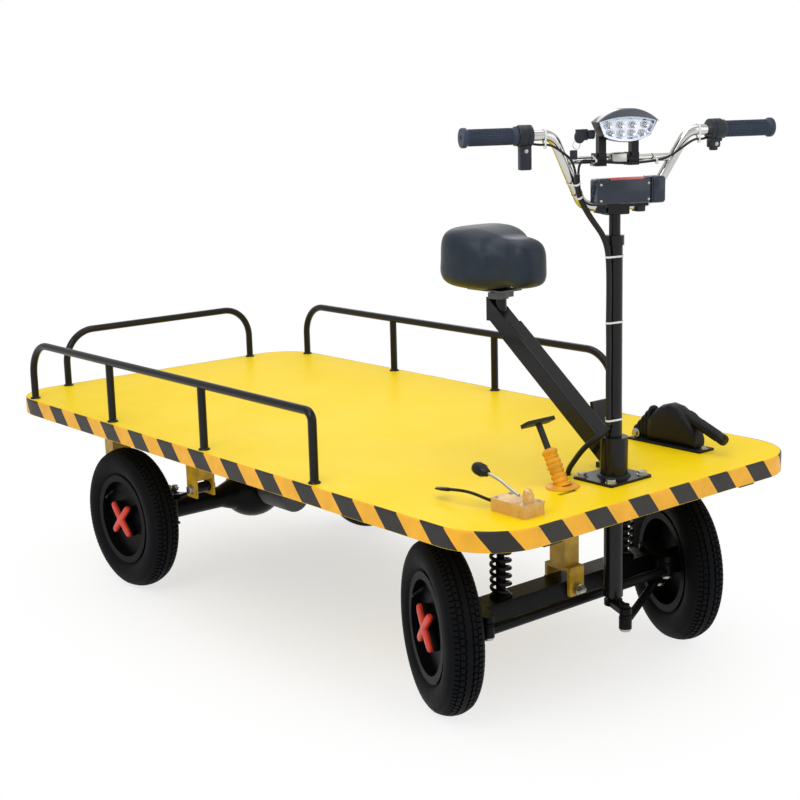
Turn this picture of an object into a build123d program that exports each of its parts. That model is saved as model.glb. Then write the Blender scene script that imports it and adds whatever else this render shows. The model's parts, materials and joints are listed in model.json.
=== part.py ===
"""Electric platform truck: a flat steel deck on four pneumatic wheels, steered by a handlebar.

Millimetres. +X is forward, +Y is left and +Z is up. Pieces are drawn with x = 0 under the middle
of the deck, and save() moves them back so that x = 0 is under the middle of the whole truck, whose
handlebar stands ahead of the deck. The steering stands turned to the right, as it was parked.
"""
from build123d import *
import os
from math import atan2, cos, degrees, hypot, radians, sin, tan

os.makedirs("parts", exist_ok=True)

# Deck
deck_length = 2000
deck_width = 1000
deck_top = 480
deck_sheet = 4
deck_edge = 43
deck_corner = 138
deck_lip = 18
deck_lip_sheet = 3
deck_edge_round = 3

# Frame under the deck
beam_size = 50
beam_spacing = 616
cross_size = 40
cross_rear_setback = 162
cross_middle_x = 250
battery_length = 520
battery_width = 330
battery_height = 96
battery_x = -40

# Wheels and axles
tyre_radius = 190
tyre_width = 84
bead_radius = 108
rim_width = 60
rim_flange = 12
rim_sheet = 5
hub_radius = 26
stub_radius = 12
spider_reach = 60
spider_arm = 23
spider_sheet = 30
front_overhang = 282.5
rear_overhang = 483
leaf_width = 45
leaf_clearance = 21.5
kingpin_spacing = 568
kingpin_offset = 70
axle_tube_radius = 30
front_beam_size = 60
front_beam_z = 196
running_gap = 0.3

# Steering
steering_turn = -23.5
column_setback = 136
column_radius = 17
column_top = 1001
shaft_radius = 12
sleeve_radius = 30
sleeve_height = 87
jacket_radius = 21
base_plate_x = 112
base_plate_y = 130
base_plate_sheet = 6
tie_arm = 100
drag_arm = 62
arm_sheet = 12
joint_radius = 14
joint_height = 24
stud_radius = 6
tie_rod_radius = 11
drag_rod_radius = 9
tie_rod_z = 204
drag_rod_z = 175
pitman_z = 196

# Handlebar, in the straight-ahead position
bar_radius = 11
bar_half_width = 338
bar_rise = 210
bar_forward = 28
bar_bend = 150
bar_low_bend = 72
bar_low_rise = 62
cross_bar_rise = 95
cross_bar_radius = 8
grip_radius = 17
grip_length = 112
housing_radius = 22
housing_length = 31

# Rails
rail_radius = 10
rail_height = 158
rail_inset = 22
rail_setback = 122
rail_post_step = 436.9
rail_posts = 4
rail_bend = 90
rail_tight_bend = 22
rear_rail_margin = 14

# Seat
seat_tube = 44
seat_tube_wall = 3
seat_post_slope = 38.3
seat_post_foot_z = 550
seat_post_joint = 311
seat_post_reach = 364
seat_setback = 349
seat_length = 270
seat_width = 216
seat_thickness = 141
seat_nose_low, seat_nose_drop = 6, 20
seat_bottom = 860

# How far the turned handlebar reaches ahead of the column
bar_overhang = 180.8

# Lengths that follow from the sizes above
deck_under = deck_top - deck_sheet
beam_bottom = deck_under - beam_size
beam_y = beam_spacing / 2
kingpin_y = kingpin_spacing / 2
wheel_z = tyre_radius
deck_end = deck_length / 2
column_x = deck_end - column_setback
front_axle_x = deck_end - front_overhang
rear_axle_x = rear_overhang - deck_end
rear_track = beam_spacing + leaf_width + 2 * leaf_clearance + tyre_width
rail_start = rail_setback - deck_end
bar_low_z = column_top + bar_low_rise
cross_bar_z = bar_low_z + cross_bar_rise
bar_z = column_top + bar_rise
origin_x = (column_x + bar_overhang - deck_end) / 2
sleeve_x = column_x - sleeve_radius
seat_post_joint_x = column_x - seat_post_joint
seat_post_end_x = column_x - seat_post_reach
seat_x = column_x - seat_setback
turn = radians(steering_turn)
steering_place = Location((column_x, 0, 0), (0, 0, steering_turn))
column_place = Location((column_x, 0, 0))
to_origin = Location((-origin_x, 0, 0))


def save(piece, name, place=Location()):
    """Labels a finished piece and writes it where it stands on the truck."""
    piece.part.label = name
    placed = piece.part.moved(to_origin * place)
    placed.label = name
    export_step(placed, f"parts/{name}.step")


def turned(x, y, reach):
    """The point at this reach ahead of (x, y) when the steering stands as it was parked."""
    return x + reach * cos(turn), y + reach * sin(turn)


# Deck: a folded steel tray, open below, with a lip turned in along its lower edge
pedal_slot = (column_x + 8, -152, 12, 52)
loom_hole = (column_x - 93, -47, 11)
foot_pedal_hole = (column_x - 32, -125, 15)
with BuildPart() as deck:
    with BuildSketch(Plane.XY.offset(deck_top - deck_edge)):
        RectangleRounded(deck_length, deck_width, deck_corner)
    extrude(amount=deck_edge)
    fillet(deck.faces().sort_by(Axis.Z)[-1].edges(), deck_edge_round)
    with BuildSketch(Plane.XY.offset(deck_top - deck_edge)):
        lip_inset = 2 * deck_lip
        RectangleRounded(deck_length - lip_inset, deck_width - lip_inset, deck_corner - deck_lip)
    extrude(amount=deck_lip_sheet, mode=Mode.SUBTRACT)
    with BuildSketch(Plane.XY.offset(deck_top - deck_edge + deck_lip_sheet)):
        wall_inset = 2 * deck_sheet
        RectangleRounded(deck_length - wall_inset, deck_width - wall_inset, deck_corner - deck_sheet)
    extrude(amount=deck_edge - deck_lip_sheet - deck_sheet, mode=Mode.SUBTRACT)
    with BuildSketch(Plane.XY.offset(deck_under)):
        with Locations((column_x, 0)):
            Circle(jacket_radius + running_gap)
        with Locations(loom_hole[:2]):
            Circle(loom_hole[2])
        with Locations(foot_pedal_hole[:2]):
            Circle(foot_pedal_hole[2])
        with Locations(pedal_slot[:2]):
            Rectangle(pedal_slot[2], pedal_slot[3])
    extrude(amount=deck_sheet, mode=Mode.SUBTRACT)
save(deck, "deck")

# Frame: two long box beams with cross members let in between and outside them
inner_half_width = deck_width / 2 - deck_sheet
beam_reach = deck_length - 2 * deck_lip
with BuildPart() as frame_beams:
    with Locations((0, beam_y, deck_under - beam_size / 2), (0, -beam_y, deck_under - beam_size / 2)):
        Box(beam_reach, beam_size, beam_size)
save(frame_beams, "frame_beams")

cross_front_x = column_x + 66
cross_xs = (cross_rear_setback - deck_end, rear_axle_x, cross_middle_x, front_axle_x, cross_front_x)
inner_span = beam_spacing - beam_size
outer_span = inner_half_width - beam_y - beam_size / 2
outer_y = beam_y + beam_size / 2 + outer_span / 2
outrigger_height = deck_edge - deck_sheet - deck_lip_sheet
with BuildPart() as cross_members:
    for x in cross_xs[:-1]:
        with Locations((x, 0, deck_under - beam_size / 2)):
            Box(cross_size, inner_span, beam_size)
        with Locations((x, outer_y, deck_under), (x, -outer_y, deck_under)):
            Box(cross_size, outer_span, outrigger_height, align=(Align.CENTER, Align.CENTER, Align.MAX))
    with Locations((cross_front_x, 0, deck_under - cross_size / 2)):
        Box(cross_size, inner_span, cross_size)
save(cross_members, "cross_members")

# Battery box, hung between the beams
with BuildPart() as battery_box:
    with Locations((battery_x, 0, deck_under - battery_height / 2)):
        Box(battery_length, battery_width, battery_height)
    fillet(battery_box.edges().filter_by(Axis.Z), 12)
save(battery_box, "battery_box")


# Rails: bent round tube with straight posts between its ends
def side_rail(side, front_bend):
    """One side rail, from the rear post to the front one."""
    y = side * (deck_width / 2 - rail_inset)
    rail_end = rail_start + (rail_posts - 1) * rail_post_step
    rail_z = deck_top + rail_height
    foot, head = (rail_start, deck_top), (rail_start, rail_z)
    with BuildPart() as rail:
        with BuildLine(Plane.XZ.offset(-y)) as path:
            FilletPolyline(foot, head, (rail_end, rail_z), (rail_end, deck_top), radius=[rail_bend, front_bend])
        with BuildSketch(Plane((rail_start, y, deck_top))):
            Circle(rail_radius)
        sweep(path=path.line)
        for post in range(1, rail_posts - 1):
            with Locations((rail_start + post * rail_post_step, y, deck_top)):
                Cylinder(rail_radius, rail_height, align=(Align.CENTER, Align.CENTER, Align.MIN))
    return rail


save(side_rail(-1, rail_tight_bend), "rail_right")
save(side_rail(1, rail_bend), "rail_left")

rear_rail_x = rail_inset - deck_end
rear_rail_half = beam_y + rear_rail_margin
with BuildPart() as rail_rear:
    rear_foot, rear_head = (-rear_rail_half, deck_top), (-rear_rail_half, deck_top + rail_height)
    far_head, far_foot = (rear_rail_half, deck_top + rail_height), (rear_rail_half, deck_top)
    with BuildLine(Plane.YZ.offset(rear_rail_x)) as rear_path:
        FilletPolyline(rear_foot, rear_head, far_head, far_foot, radius=rail_bend)
    with BuildSketch(Plane((rear_rail_x, -rear_rail_half, deck_top))):
        Circle(rail_radius)
    sweep(path=rear_path.line)
save(rail_rear, "rail_rear")

# Column base: plate and sleeve on the deck, and the jacket that carries the shaft below it
plate_top = deck_top + base_plate_sheet
jacket_bottom = pitman_z + arm_sheet + 8
bolt_x, bolt_y, bolt_radius = base_plate_x / 2 - 15, base_plate_y / 2 - 15, 5
with BuildPart() as column_base:
    with BuildSketch(Plane.XY.offset(deck_top)):
        with Locations((column_x - 4, 0)):
            RectangleRounded(base_plate_x, base_plate_y, 6)
            with GridLocations(2 * bolt_x, 2 * bolt_y, 2, 2):
                Circle(bolt_radius + running_gap, mode=Mode.SUBTRACT)
    extrude(amount=base_plate_sheet)
    with Locations((column_x, 0, plate_top)):
        Cylinder(sleeve_radius, sleeve_height, align=(Align.CENTER, Align.CENTER, Align.MIN))
    with Locations((column_x, 0, plate_top)):
        Cylinder(jacket_radius, plate_top - jacket_bottom, align=(Align.CENTER, Align.CENTER, Align.MAX))
    with Locations((column_x, 0, plate_top)):
        Cylinder(column_radius + running_gap, sleeve_height, align=(Align.CENTER, Align.CENTER, Align.MIN),
                 mode=Mode.SUBTRACT)
        Cylinder(shaft_radius + running_gap, plate_top - jacket_bottom,
                 align=(Align.CENTER, Align.CENTER, Align.MAX), mode=Mode.SUBTRACT)
save(column_base, "column_base")

# Steering column: tube, collar and shaft, one turned piece
collar_radius, collar_height = 20, 20
shaft_bottom = pitman_z + arm_sheet
with BuildPart() as steering_column:
    with BuildSketch(Plane.XZ):
        with BuildLine():
            Polyline(
                (0, shaft_bottom), (shaft_radius, shaft_bottom), (shaft_radius, plate_top + running_gap),
                (column_radius, plate_top + running_gap), (column_radius, column_top - collar_height),
                (collar_radius, column_top - collar_height), (collar_radius, column_top), (0, column_top),
                close=True)
        make_face()
    revolve(axis=Axis.Z)
save(steering_column, "steering_column", steering_place)

# Pitman arm: clamped under the shaft, with the drag link's stud
collar_gap = 0.5


def arm_sketch(reach):
    """Outline of a steering arm that reaches ahead of its pivot."""
    with Locations((reach / 2, 0)):
        SlotCenterToCenter(reach, 2 * joint_radius)
    Circle(20)


def stud(reach, top, rod_z):
    """Ball stud that hangs from an arm into the joint of a rod."""
    joint_top = rod_z + joint_height / 2
    bottom = rod_z - joint_height / 2 + 6
    with Locations((reach, 0, bottom)):
        Cylinder(stud_radius, top - bottom, align=(Align.CENTER, Align.CENTER, Align.MIN))
    with Locations((reach, 0, joint_top + collar_gap)):
        Cylinder(stud_radius + 3, top - joint_top - collar_gap, align=(Align.CENTER, Align.CENTER, Align.MIN))


with BuildPart() as pitman_arm:
    with BuildSketch(Plane.XY.offset(pitman_z)):
        arm_sketch(drag_arm)
    extrude(amount=arm_sheet)
    stud(drag_arm, pitman_z, drag_rod_z)
    with Locations((drag_arm, 0, pitman_z + arm_sheet)):
        Cylinder(9, 9, align=(Align.CENTER, Align.CENTER, Align.MIN))
save(pitman_arm, "pitman_arm", steering_place)

# Handlebar: a U-shaped bar with its cross bar
lower = [(0, -bar_low_bend, bar_low_z), (0, bar_low_bend, bar_low_z)]
cross_share = (cross_bar_z - bar_low_z) / (bar_z - bar_low_z)
cross_half = bar_low_bend + cross_share * (bar_bend - bar_low_bend)
cross_forward = cross_share * bar_forward
bar_end = bar_half_width - 6
with BuildPart() as handlebar:
    with BuildLine() as bar_path:
        FilletPolyline(
            (bar_forward, -bar_end, bar_z), (bar_forward, -bar_bend, bar_z), lower[0], lower[1],
            (bar_forward, bar_bend, bar_z), (bar_forward, bar_end, bar_z), radius=[34, 34, 34, 34])
    with BuildSketch(Plane(bar_path.line @ 0, z_dir=bar_path.line % 0)):
        Circle(bar_radius)
    sweep(path=bar_path.line)
    with Locations(Location((cross_forward, 0, cross_bar_z), (90, 0, 0))):
        Cylinder(cross_bar_radius, 2 * cross_half)
save(handlebar, "handlebar", steering_place)

# Stem: the neck, the clamp round the bar and the shelf of the display box
display_size = (44, 150, 54)
display_centre = (62, 0, bar_low_z + 34)
shelf_sheet = 6
shelf_top = display_centre[2] - display_size[2] / 2
clamp_half = 24
with BuildPart() as stem:
    with Locations((0, 0, column_top)):
        Cylinder(shaft_radius, bar_low_z - column_top, align=(Align.CENTER, Align.CENTER, Align.MIN))
    with Locations((0, 0, bar_low_z)):
        Box(2 * bar_radius + 18, 2 * clamp_half, 2 * bar_radius + 16)
    fillet(stem.edges().filter_by(Axis.Y), 6)
    with Locations((display_centre[0] - 22, 0, shelf_top)):
        Box(display_size[0], 92, shelf_sheet, align=(Align.CENTER, Align.CENTER, Align.MAX))
    with Locations(Location((0, 0, bar_low_z), (90, 0, 0))):
        Cylinder(bar_radius + running_gap, 100, mode=Mode.SUBTRACT)
save(stem, "stem", steering_place)

with BuildPart() as display_box:
    with Locations(display_centre):
        Box(*display_size)
    fillet(display_box.edges().filter_by(Axis.Y), 8)
save(display_box, "display_box", steering_place)

# Grips and their housings, the same on both sides
grip_start = bar_half_width - grip_length
with BuildPart() as grips:
    for side in (-1, 1):
        out = (0, side, 0)
        with BuildSketch(Plane((bar_forward, side * grip_start, bar_z), z_dir=out)):
            Circle(grip_radius)
        extrude(amount=grip_length)
        with BuildSketch(Plane((bar_forward, side * bar_half_width, bar_z), z_dir=out)):
            Circle(grip_radius + 3)
        extrude(amount=5)
        with BuildSketch(Plane((bar_forward, side * grip_start, bar_z), z_dir=out)):
            Circle(bar_radius + running_gap)
        extrude(amount=bar_end - grip_start + 1, mode=Mode.SUBTRACT)
save(grips, "grips", steering_place)

with BuildPart() as bar_housings:
    for side, drop, block in ((-1, 58, 24), (1, 34, 28)):
        inner = side * (grip_start - housing_length)
        with BuildSketch(Plane((bar_forward, inner, bar_z), z_dir=(0, side, 0))):
            Circle(housing_radius)
        extrude(amount=housing_length - 0.5)
        with Locations((bar_forward, inner + side * (block / 2 + 2), bar_z - drop / 2 - 8)):
            Box(20, block, drop)
        with BuildSketch(Plane((bar_forward, inner, bar_z), z_dir=(0, side, 0))):
            Circle(bar_radius + running_gap)
        extrude(amount=housing_length, mode=Mode.SUBTRACT)
save(bar_housings, "bar_housings", steering_place)

# Headlamp on the cross bar, with its lens and its key switch
lamp_width, lamp_height, lamp_depth = 130, 64, 58
lamp_back = 18
lamp_side = -8
lamp_z = bar_z + 14
lens_sheet, lens_inset, lens_crown = 8, 5, 17
lamp_shoulder, lamp_cheek = 9, 17
lamp_foot_y = 36


def lamp_plane(x):
    """Plane across the lamp at x, seen from the front."""
    return Plane((x, lamp_side, lamp_z), x_dir=(0, 1, 0), z_dir=(1, 0, 0))


def lamp_outline(margin, crown):
    """Front outline of the lamp: a wide brow over a shallow, rounded chin."""
    half, low = lamp_width / 2 - margin, lamp_height / 2 - margin
    with BuildLine() as outline:
        brow = ThreePointArc((-half, lamp_shoulder), (0, crown), (half, lamp_shoulder))
        chin = ThreePointArc((-half * 0.8, -lamp_cheek), (0, -low), (half * 0.8, -lamp_cheek))
        Line(brow @ 0, chin @ 0)
        Line(brow @ 1, chin @ 1)
    return outline.edges()


with BuildPart() as headlamp:
    lamp_front = lamp_back + lamp_depth
    lamp_waist = lamp_back + 26
    crown = lamp_height / 2
    with BuildSketch(lamp_plane(lamp_back)):
        make_face(lamp_outline(12, crown - 12))
    with BuildSketch(lamp_plane(lamp_waist)):
        make_face(lamp_outline(0, crown))
    loft()
    with BuildSketch(lamp_plane(lamp_waist)):
        make_face(lamp_outline(0, crown))
    extrude(amount=lamp_depth - 26)
    with BuildSketch(lamp_plane(lamp_front - lens_sheet)):
        make_face(lamp_outline(lens_inset, lens_crown))
    extrude(amount=lens_sheet, mode=Mode.SUBTRACT)
    foot_drop = lamp_z - cross_bar_z - lamp_height / 2 + 14
    for foot_y in (lamp_side - lamp_foot_y, lamp_side + lamp_foot_y):
        with Locations((lamp_back + 10, foot_y, cross_bar_z + 6)):
            Box(16, 16, foot_drop, align=(Align.CENTER, Align.CENTER, Align.MIN))
        with Locations((cross_forward, foot_y, cross_bar_z)):
            Box(28, 22, 26)
    with Locations(Location((cross_forward, 0, cross_bar_z), (90, 0, 0))):
        Cylinder(cross_bar_radius + running_gap, 120, mode=Mode.SUBTRACT)
save(headlamp, "headlamp", steering_place)

with BuildPart() as headlamp_lens:
    with BuildSketch(lamp_plane(lamp_front - lens_sheet)):
        make_face(lamp_outline(lens_inset + 0.3, lens_crown - 0.3))
    extrude(amount=lens_sheet - 1)
save(headlamp_lens, "headlamp_lens", steering_place)

with BuildPart() as key_switch:
    key_y = lamp_side - lamp_width / 2 + 2
    with BuildSketch(Plane((lamp_back + 34, key_y, lamp_z - 15), z_dir=(0, -1, 0))):
        Circle(9)
    extrude(amount=14)
    with Locations((lamp_back + 34, key_y - 26, lamp_z - 15)):
        Box(6, 24, 22)
save(key_switch, "key_switch", steering_place)


# Wheels, built about the X axis with the outer side towards +X
hub_inner, hub_outer, disc_inner = -28, 14, 8
with BuildPart() as tyre:
    half, bead, crown = tyre_width / 2, rim_width / 2 - running_gap, 12
    bead_r = bead_radius + running_gap
    with BuildSketch(Plane.XY):
        with BuildLine():
            tread = ThreePointArc((-half + crown, tyre_radius - 9), (0, tyre_radius),
                                  (half - crown, tyre_radius - 9))
            right_wall = ThreePointArc(tread @ 1, (half, bead_r + 45), (bead, bead_r + 14))
            left_wall = ThreePointArc(tread @ 0, (-half, bead_r + 45), (-bead, bead_r + 14))
            Polyline(right_wall @ 1, (bead, bead_r), (-bead, bead_r), left_wall @ 1)
        make_face()
    revolve(axis=Axis.X)

with BuildPart() as rim:
    inner_r = bead_radius - rim_sheet
    edge, lip = rim_width / 2, bead_radius + rim_flange
    with BuildSketch(Plane.XY):
        with BuildLine():
            Polyline(
                (-edge - rim_sheet, lip), (-edge, lip), (-edge, bead_radius), (edge, bead_radius),
                (edge, lip), (edge + rim_sheet, lip), (edge + rim_sheet, inner_r), (hub_outer, inner_r),
                (hub_outer, stub_radius + running_gap), (hub_inner, stub_radius + running_gap),
                (hub_inner, hub_radius), (disc_inner, hub_radius + 6), (disc_inner, inner_r),
                (-edge - rim_sheet, inner_r), close=True)
        make_face()
    revolve(axis=Axis.X)

with BuildPart() as spider:
    with BuildSketch(Plane.YZ.offset(hub_outer)):
        for angle in (45, 135):
            SlotOverall(2 * spider_reach, spider_arm, rotation=angle)
    extrude(amount=spider_sheet, taper=6)
    fillet(spider.faces().sort_by(Axis.X)[-1].edges(), 4)

wheel_table = {
    "front_right": (*turned(front_axle_x, -kingpin_y, 0), -1, steering_turn, kingpin_offset),
    "front_left": (*turned(front_axle_x, kingpin_y, 0), 1, steering_turn, kingpin_offset),
    "rear_right": (rear_axle_x, -rear_track / 2, -1, 0, 0),
    "rear_left": (rear_axle_x, rear_track / 2, 1, 0, 0),
}
for corner, (x, y, side, angle, offset) in wheel_table.items():
    place = Location((x, y, wheel_z), (0, 0, angle + side * 90)) * Location((offset, 0, 0))
    save(tyre, f"tyre_{corner}", place)
    save(rim, f"rim_{corner}", place)
    save(spider, f"spider_{corner}", place)

# Front axle beam with its kingpin bosses
kingpin_radius, boss_radius = 10, 22
beam_top = front_beam_z + front_beam_size / 2
beam_low = front_beam_z - front_beam_size / 2
pivot_z = front_beam_z + 9
pivot_radius = 8
with BuildPart() as front_axle:
    with Locations((front_axle_x, 0, front_beam_z)):
        Box(front_beam_size, kingpin_spacing - 2 * boss_radius + 16, front_beam_size)
    with Locations((front_axle_x, kingpin_y, front_beam_z), (front_axle_x, -kingpin_y, front_beam_z)):
        Cylinder(boss_radius, front_beam_size)
        Cylinder(kingpin_radius + running_gap, front_beam_size, mode=Mode.SUBTRACT)
    with Locations(Location((front_axle_x, 0, pivot_z), (0, 90, 0))):
        Cylinder(pivot_radius + running_gap, front_beam_size, mode=Mode.SUBTRACT)
save(front_axle, "front_axle")

# Fork: a square tube down from the frame with two cheeks either side of the beam
cheek_sheet, cheek_width, fork_tube = 8, 46, 46
cheek_low, cheek_top = pivot_z - 20, beam_top + 30
fork_inside = front_beam_size / 2 + 0.5
with BuildPart() as pivot_fork:
    for end in (-1, 1):
        cheek_x = front_axle_x + end * (fork_inside + cheek_sheet / 2)
        with Locations((cheek_x, 0, cheek_low)):
            Box(cheek_sheet, cheek_width, cheek_top - cheek_low, align=(Align.CENTER, Align.CENTER, Align.MIN))
    with Locations((front_axle_x, 0, cheek_top)):
        Box(2 * (fork_inside + cheek_sheet), cheek_width, cheek_sheet, align=(Align.CENTER, Align.CENTER, Align.MAX))
    with Locations((front_axle_x, 0, cheek_top)):
        Box(fork_tube, fork_tube, beam_bottom - cheek_top, align=(Align.CENTER, Align.CENTER, Align.MIN))
    with Locations(Location((front_axle_x, 0, pivot_z), (0, 90, 0))):
        Cylinder(pivot_radius + running_gap, 2 * (fork_inside + cheek_sheet), mode=Mode.SUBTRACT)
    fillet(pivot_fork.edges().filter_by(Axis.X).group_by(Axis.Z)[0], 14)
save(pivot_fork, "pivot_fork")

# Coil spring legs between the beam and the frame
leg_y, coil_radius, coil_inner, coil_pitch, leg_seat = 198, 25, 19, 18, 8
coil_start = beam_top + leg_seat + 18
coil_count = 9
with BuildPart() as spring_legs:
    with BuildSketch(Plane.XZ):
        coils = []
        for coil in range(coil_count):
            low = coil_start + coil * coil_pitch
            coils += [(coil_inner, low), (coil_radius, low + 0.28 * coil_pitch),
                      (coil_radius, low + 0.6 * coil_pitch), (coil_inner, low + 0.88 * coil_pitch)]
        with BuildLine():
            Polyline((0, beam_top), (coil_radius, beam_top), (coil_radius, beam_top + leg_seat),
                     (coil_inner, beam_top + leg_seat), *coils, (coil_inner, beam_bottom - leg_seat),
                     (coil_radius, beam_bottom - leg_seat), (coil_radius, beam_bottom), (0, beam_bottom),
                     close=True)
        make_face()
    revolve(axis=Axis.Z)


def pair(piece, name, x, y):
    """Writes two like pieces, one each side of the truck, as one sub-part."""
    places = (to_origin * Location((x, y, 0)), to_origin * Location((x, -y, 0)))
    both = Compound(children=[piece.part.moved(place) for place in places])
    both.label = name
    export_step(both, f"parts/{name}.step")


pair(spring_legs, "spring_legs", front_axle_x, leg_y)


# Knuckles: a yoke on the kingpin, the stub axle and the arm that steers it
yoke_sheet, yoke_width, web_inner, web_outer = 12, 40, 26, 38
upper_z, lower_z = beam_top + 0.5, beam_low - 0.5


def knuckle(side, carries_drag_link):
    """One knuckle about its kingpin, its outer side towards side * Y."""
    with BuildPart() as body:
        for z, align in ((upper_z, Align.MIN), (lower_z, Align.MAX)):
            with Locations((0, 0, z)):
                Cylinder(yoke_width / 2, yoke_sheet, align=(Align.CENTER, Align.CENTER, align))
            with Locations((0, side * web_outer / 2, z)):
                Box(yoke_width, web_outer, yoke_sheet, align=(Align.CENTER, Align.CENTER, align))
        web_height = upper_z - lower_z + 2 * yoke_sheet
        with Locations((0, side * (web_inner + web_outer) / 2, front_beam_z)):
            Box(yoke_width, web_outer - web_inner, web_height)
        with Locations((0, 0, front_beam_z)):
            Cylinder(kingpin_radius, web_height)
        with BuildSketch(Plane((0, side * web_outer, wheel_z), z_dir=(0, side, 0))):
            Circle(stub_radius + 4)
        extrude(amount=kingpin_offset + hub_inner - web_outer - running_gap)
        with BuildSketch(Plane((0, side * web_outer, wheel_z), z_dir=(0, side, 0))):
            Circle(stub_radius)
        extrude(amount=kingpin_offset + hub_outer - web_outer - 0.5)
        with BuildSketch(Plane.XY.offset(upper_z)):
            arm_sketch(tie_arm)
        extrude(amount=arm_sheet)
        stud(tie_arm, upper_z, tie_rod_z)
        if carries_drag_link:
            stud(drag_arm, upper_z, drag_rod_z)
    return body


for name, side, carries in (("knuckle_right", -1, False), ("knuckle_left", 1, True)):
    place = Location((front_axle_x, side * kingpin_y, 0), (0, 0, steering_turn))
    save(knuckle(side, carries), name, place)


def rod(start, end, z, radius):
    """Steering rod at height z between two studs, with a ball joint at each end."""
    reach_x, reach_y = end[0] - start[0], end[1] - start[1]
    length = hypot(reach_x, reach_y)
    with BuildPart() as link:
        with BuildSketch(Plane((0, 0, z), z_dir=(1, 0, 0))):
            Circle(radius)
        extrude(amount=length)
        for x in (0, length):
            with Locations((x, 0, z)):
                Cylinder(joint_radius, joint_height)
            with Locations((x, 0, z - joint_height / 2 + 5)):
                Cylinder(stud_radius + running_gap, joint_height, align=(Align.CENTER, Align.CENTER, Align.MIN),
                         mode=Mode.SUBTRACT)
    return link, Location((start[0], start[1], 0), (0, 0, degrees(atan2(reach_y, reach_x))))


right_tie, left_tie = turned(front_axle_x, -kingpin_y, tie_arm), turned(front_axle_x, kingpin_y, tie_arm)
pitman_end, left_drag = turned(column_x, 0, drag_arm), turned(front_axle_x, kingpin_y, drag_arm)
tie_rod, tie_place = rod(right_tie, left_tie, tie_rod_z, tie_rod_radius)
save(tie_rod, "tie_rod", tie_place)
drag_link, drag_place = rod(pitman_end, left_drag, drag_rod_z, drag_rod_radius)
save(drag_link, "drag_link", drag_place)

# Rear axle: one turned housing with the differential in its middle, and the shafts' ends
bulge_radius, bulge_half, flange_radius = 76, 74, 42
housing_half = rear_track / 2 + hub_inner - 10
shaft_half = rear_track / 2 + hub_outer - 0.5
motor_radius, motor_length, motor_rise, motor_flange, flange_sheet = 47, 116, 22, 40, 18
motor_start = bulge_radius + 6
with BuildPart() as rear_axle:
    with BuildSketch(Plane.XY):
        with BuildLine():
            bulge = ThreePointArc((-bulge_half, axle_tube_radius + 14), (0, bulge_radius),
                                  (bulge_half, axle_tube_radius + 14))
            for end in (-1, 1):
                Polyline(
                    (end * bulge_half, axle_tube_radius + 14), (end * (bulge_half + 40), axle_tube_radius),
                    (end * (housing_half - 8), axle_tube_radius), (end * (housing_half - 8), flange_radius),
                    (end * housing_half, flange_radius), (end * housing_half, stub_radius),
                    (end * shaft_half, stub_radius), (end * shaft_half, 0))
            Line((-shaft_half, 0), (shaft_half, 0))
        make_face()
    revolve(axis=Axis.X)
    with BuildSketch(Plane((0, 0, motor_rise), z_dir=(0, -1, 0))):
        Circle(motor_flange)
    extrude(amount=motor_start)
save(rear_axle, "rear_axle", Location((rear_axle_x, 0, wheel_z), (0, 0, 90)))

# Drive motor, bolted to the front of the differential
motor_back, motor_z = rear_axle_x + motor_start, wheel_z + motor_rise
with BuildPart() as drive_motor:
    with BuildSketch(Plane((motor_back, 0, motor_z), z_dir=(1, 0, 0))):
        Circle(motor_flange)
    extrude(amount=flange_sheet)
    with BuildSketch(Plane((motor_back + flange_sheet, 0, motor_z), z_dir=(1, 0, 0))):
        Circle(motor_radius)
    extrude(amount=motor_length)
    fillet(drive_motor.faces().sort_by(Axis.X)[-1].edges(), 8)
save(drive_motor, "drive_motor")

# Leaf springs on the rear axle
leaf_sheet, leaf_reach, leaf_rise, eye_radius = 7, 215, 50, 14
seat_sheet, pack_leaves = 6, 3
leaf_low = wheel_z + axle_tube_radius + seat_sheet
pack_top = leaf_low + pack_leaves * leaf_sheet
eye_z = pack_top + leaf_rise
pin_radius = 7


def leaf(reach, top, rise):
    """Side view of one leaf, sprung up at both ends."""
    with BuildLine() as outline:
        upper = ThreePointArc((-reach, top + rise), (0, top), (reach, top + rise))
        under = ThreePointArc((-reach, top + rise - leaf_sheet), (0, top - leaf_sheet),
                              (reach, top + rise - leaf_sheet))
        Line(upper @ 0, under @ 0)
        Line(upper @ 1, under @ 1)
    return outline.edges()


with BuildPart() as leaf_spring:
    with BuildSketch(Plane.XZ.offset(-leaf_width / 2)):
        for number, share in enumerate((1, 0.68, 0.38)):
            make_face(leaf(leaf_reach * share, pack_top - number * leaf_sheet, leaf_rise * share ** 2))
        with Locations((-leaf_reach, eye_z), (leaf_reach, eye_z)):
            Circle(eye_radius)
            Circle(pin_radius + running_gap, mode=Mode.SUBTRACT)
    extrude(amount=leaf_width)
pair(leaf_spring, "leaf_springs", rear_axle_x, beam_y)

# Yellow hangers that carry the leaf springs from the frame, with their pins
hanger_length, hanger_wall, hanger_low = 44, 6, eye_z - 22
hanger_width = leaf_width + 2 * hanger_wall + 1
with BuildPart() as hangers:
    for x in (-leaf_reach, leaf_reach):
        with Locations((x, 0, hanger_low)):
            Box(hanger_length, hanger_width, beam_bottom - hanger_low,
                align=(Align.CENTER, Align.CENTER, Align.MIN))
        with Locations((x, 0, hanger_low)):
            Box(hanger_length, leaf_width + 1, 46, align=(Align.CENTER, Align.CENTER, Align.MIN),
                mode=Mode.SUBTRACT)
        with Locations(Location((x, 0, eye_z), (90, 0, 0))):
            Cylinder(pin_radius + running_gap, hanger_width, mode=Mode.SUBTRACT)
pair(hangers, "spring_hangers", rear_axle_x, beam_y)

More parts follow.
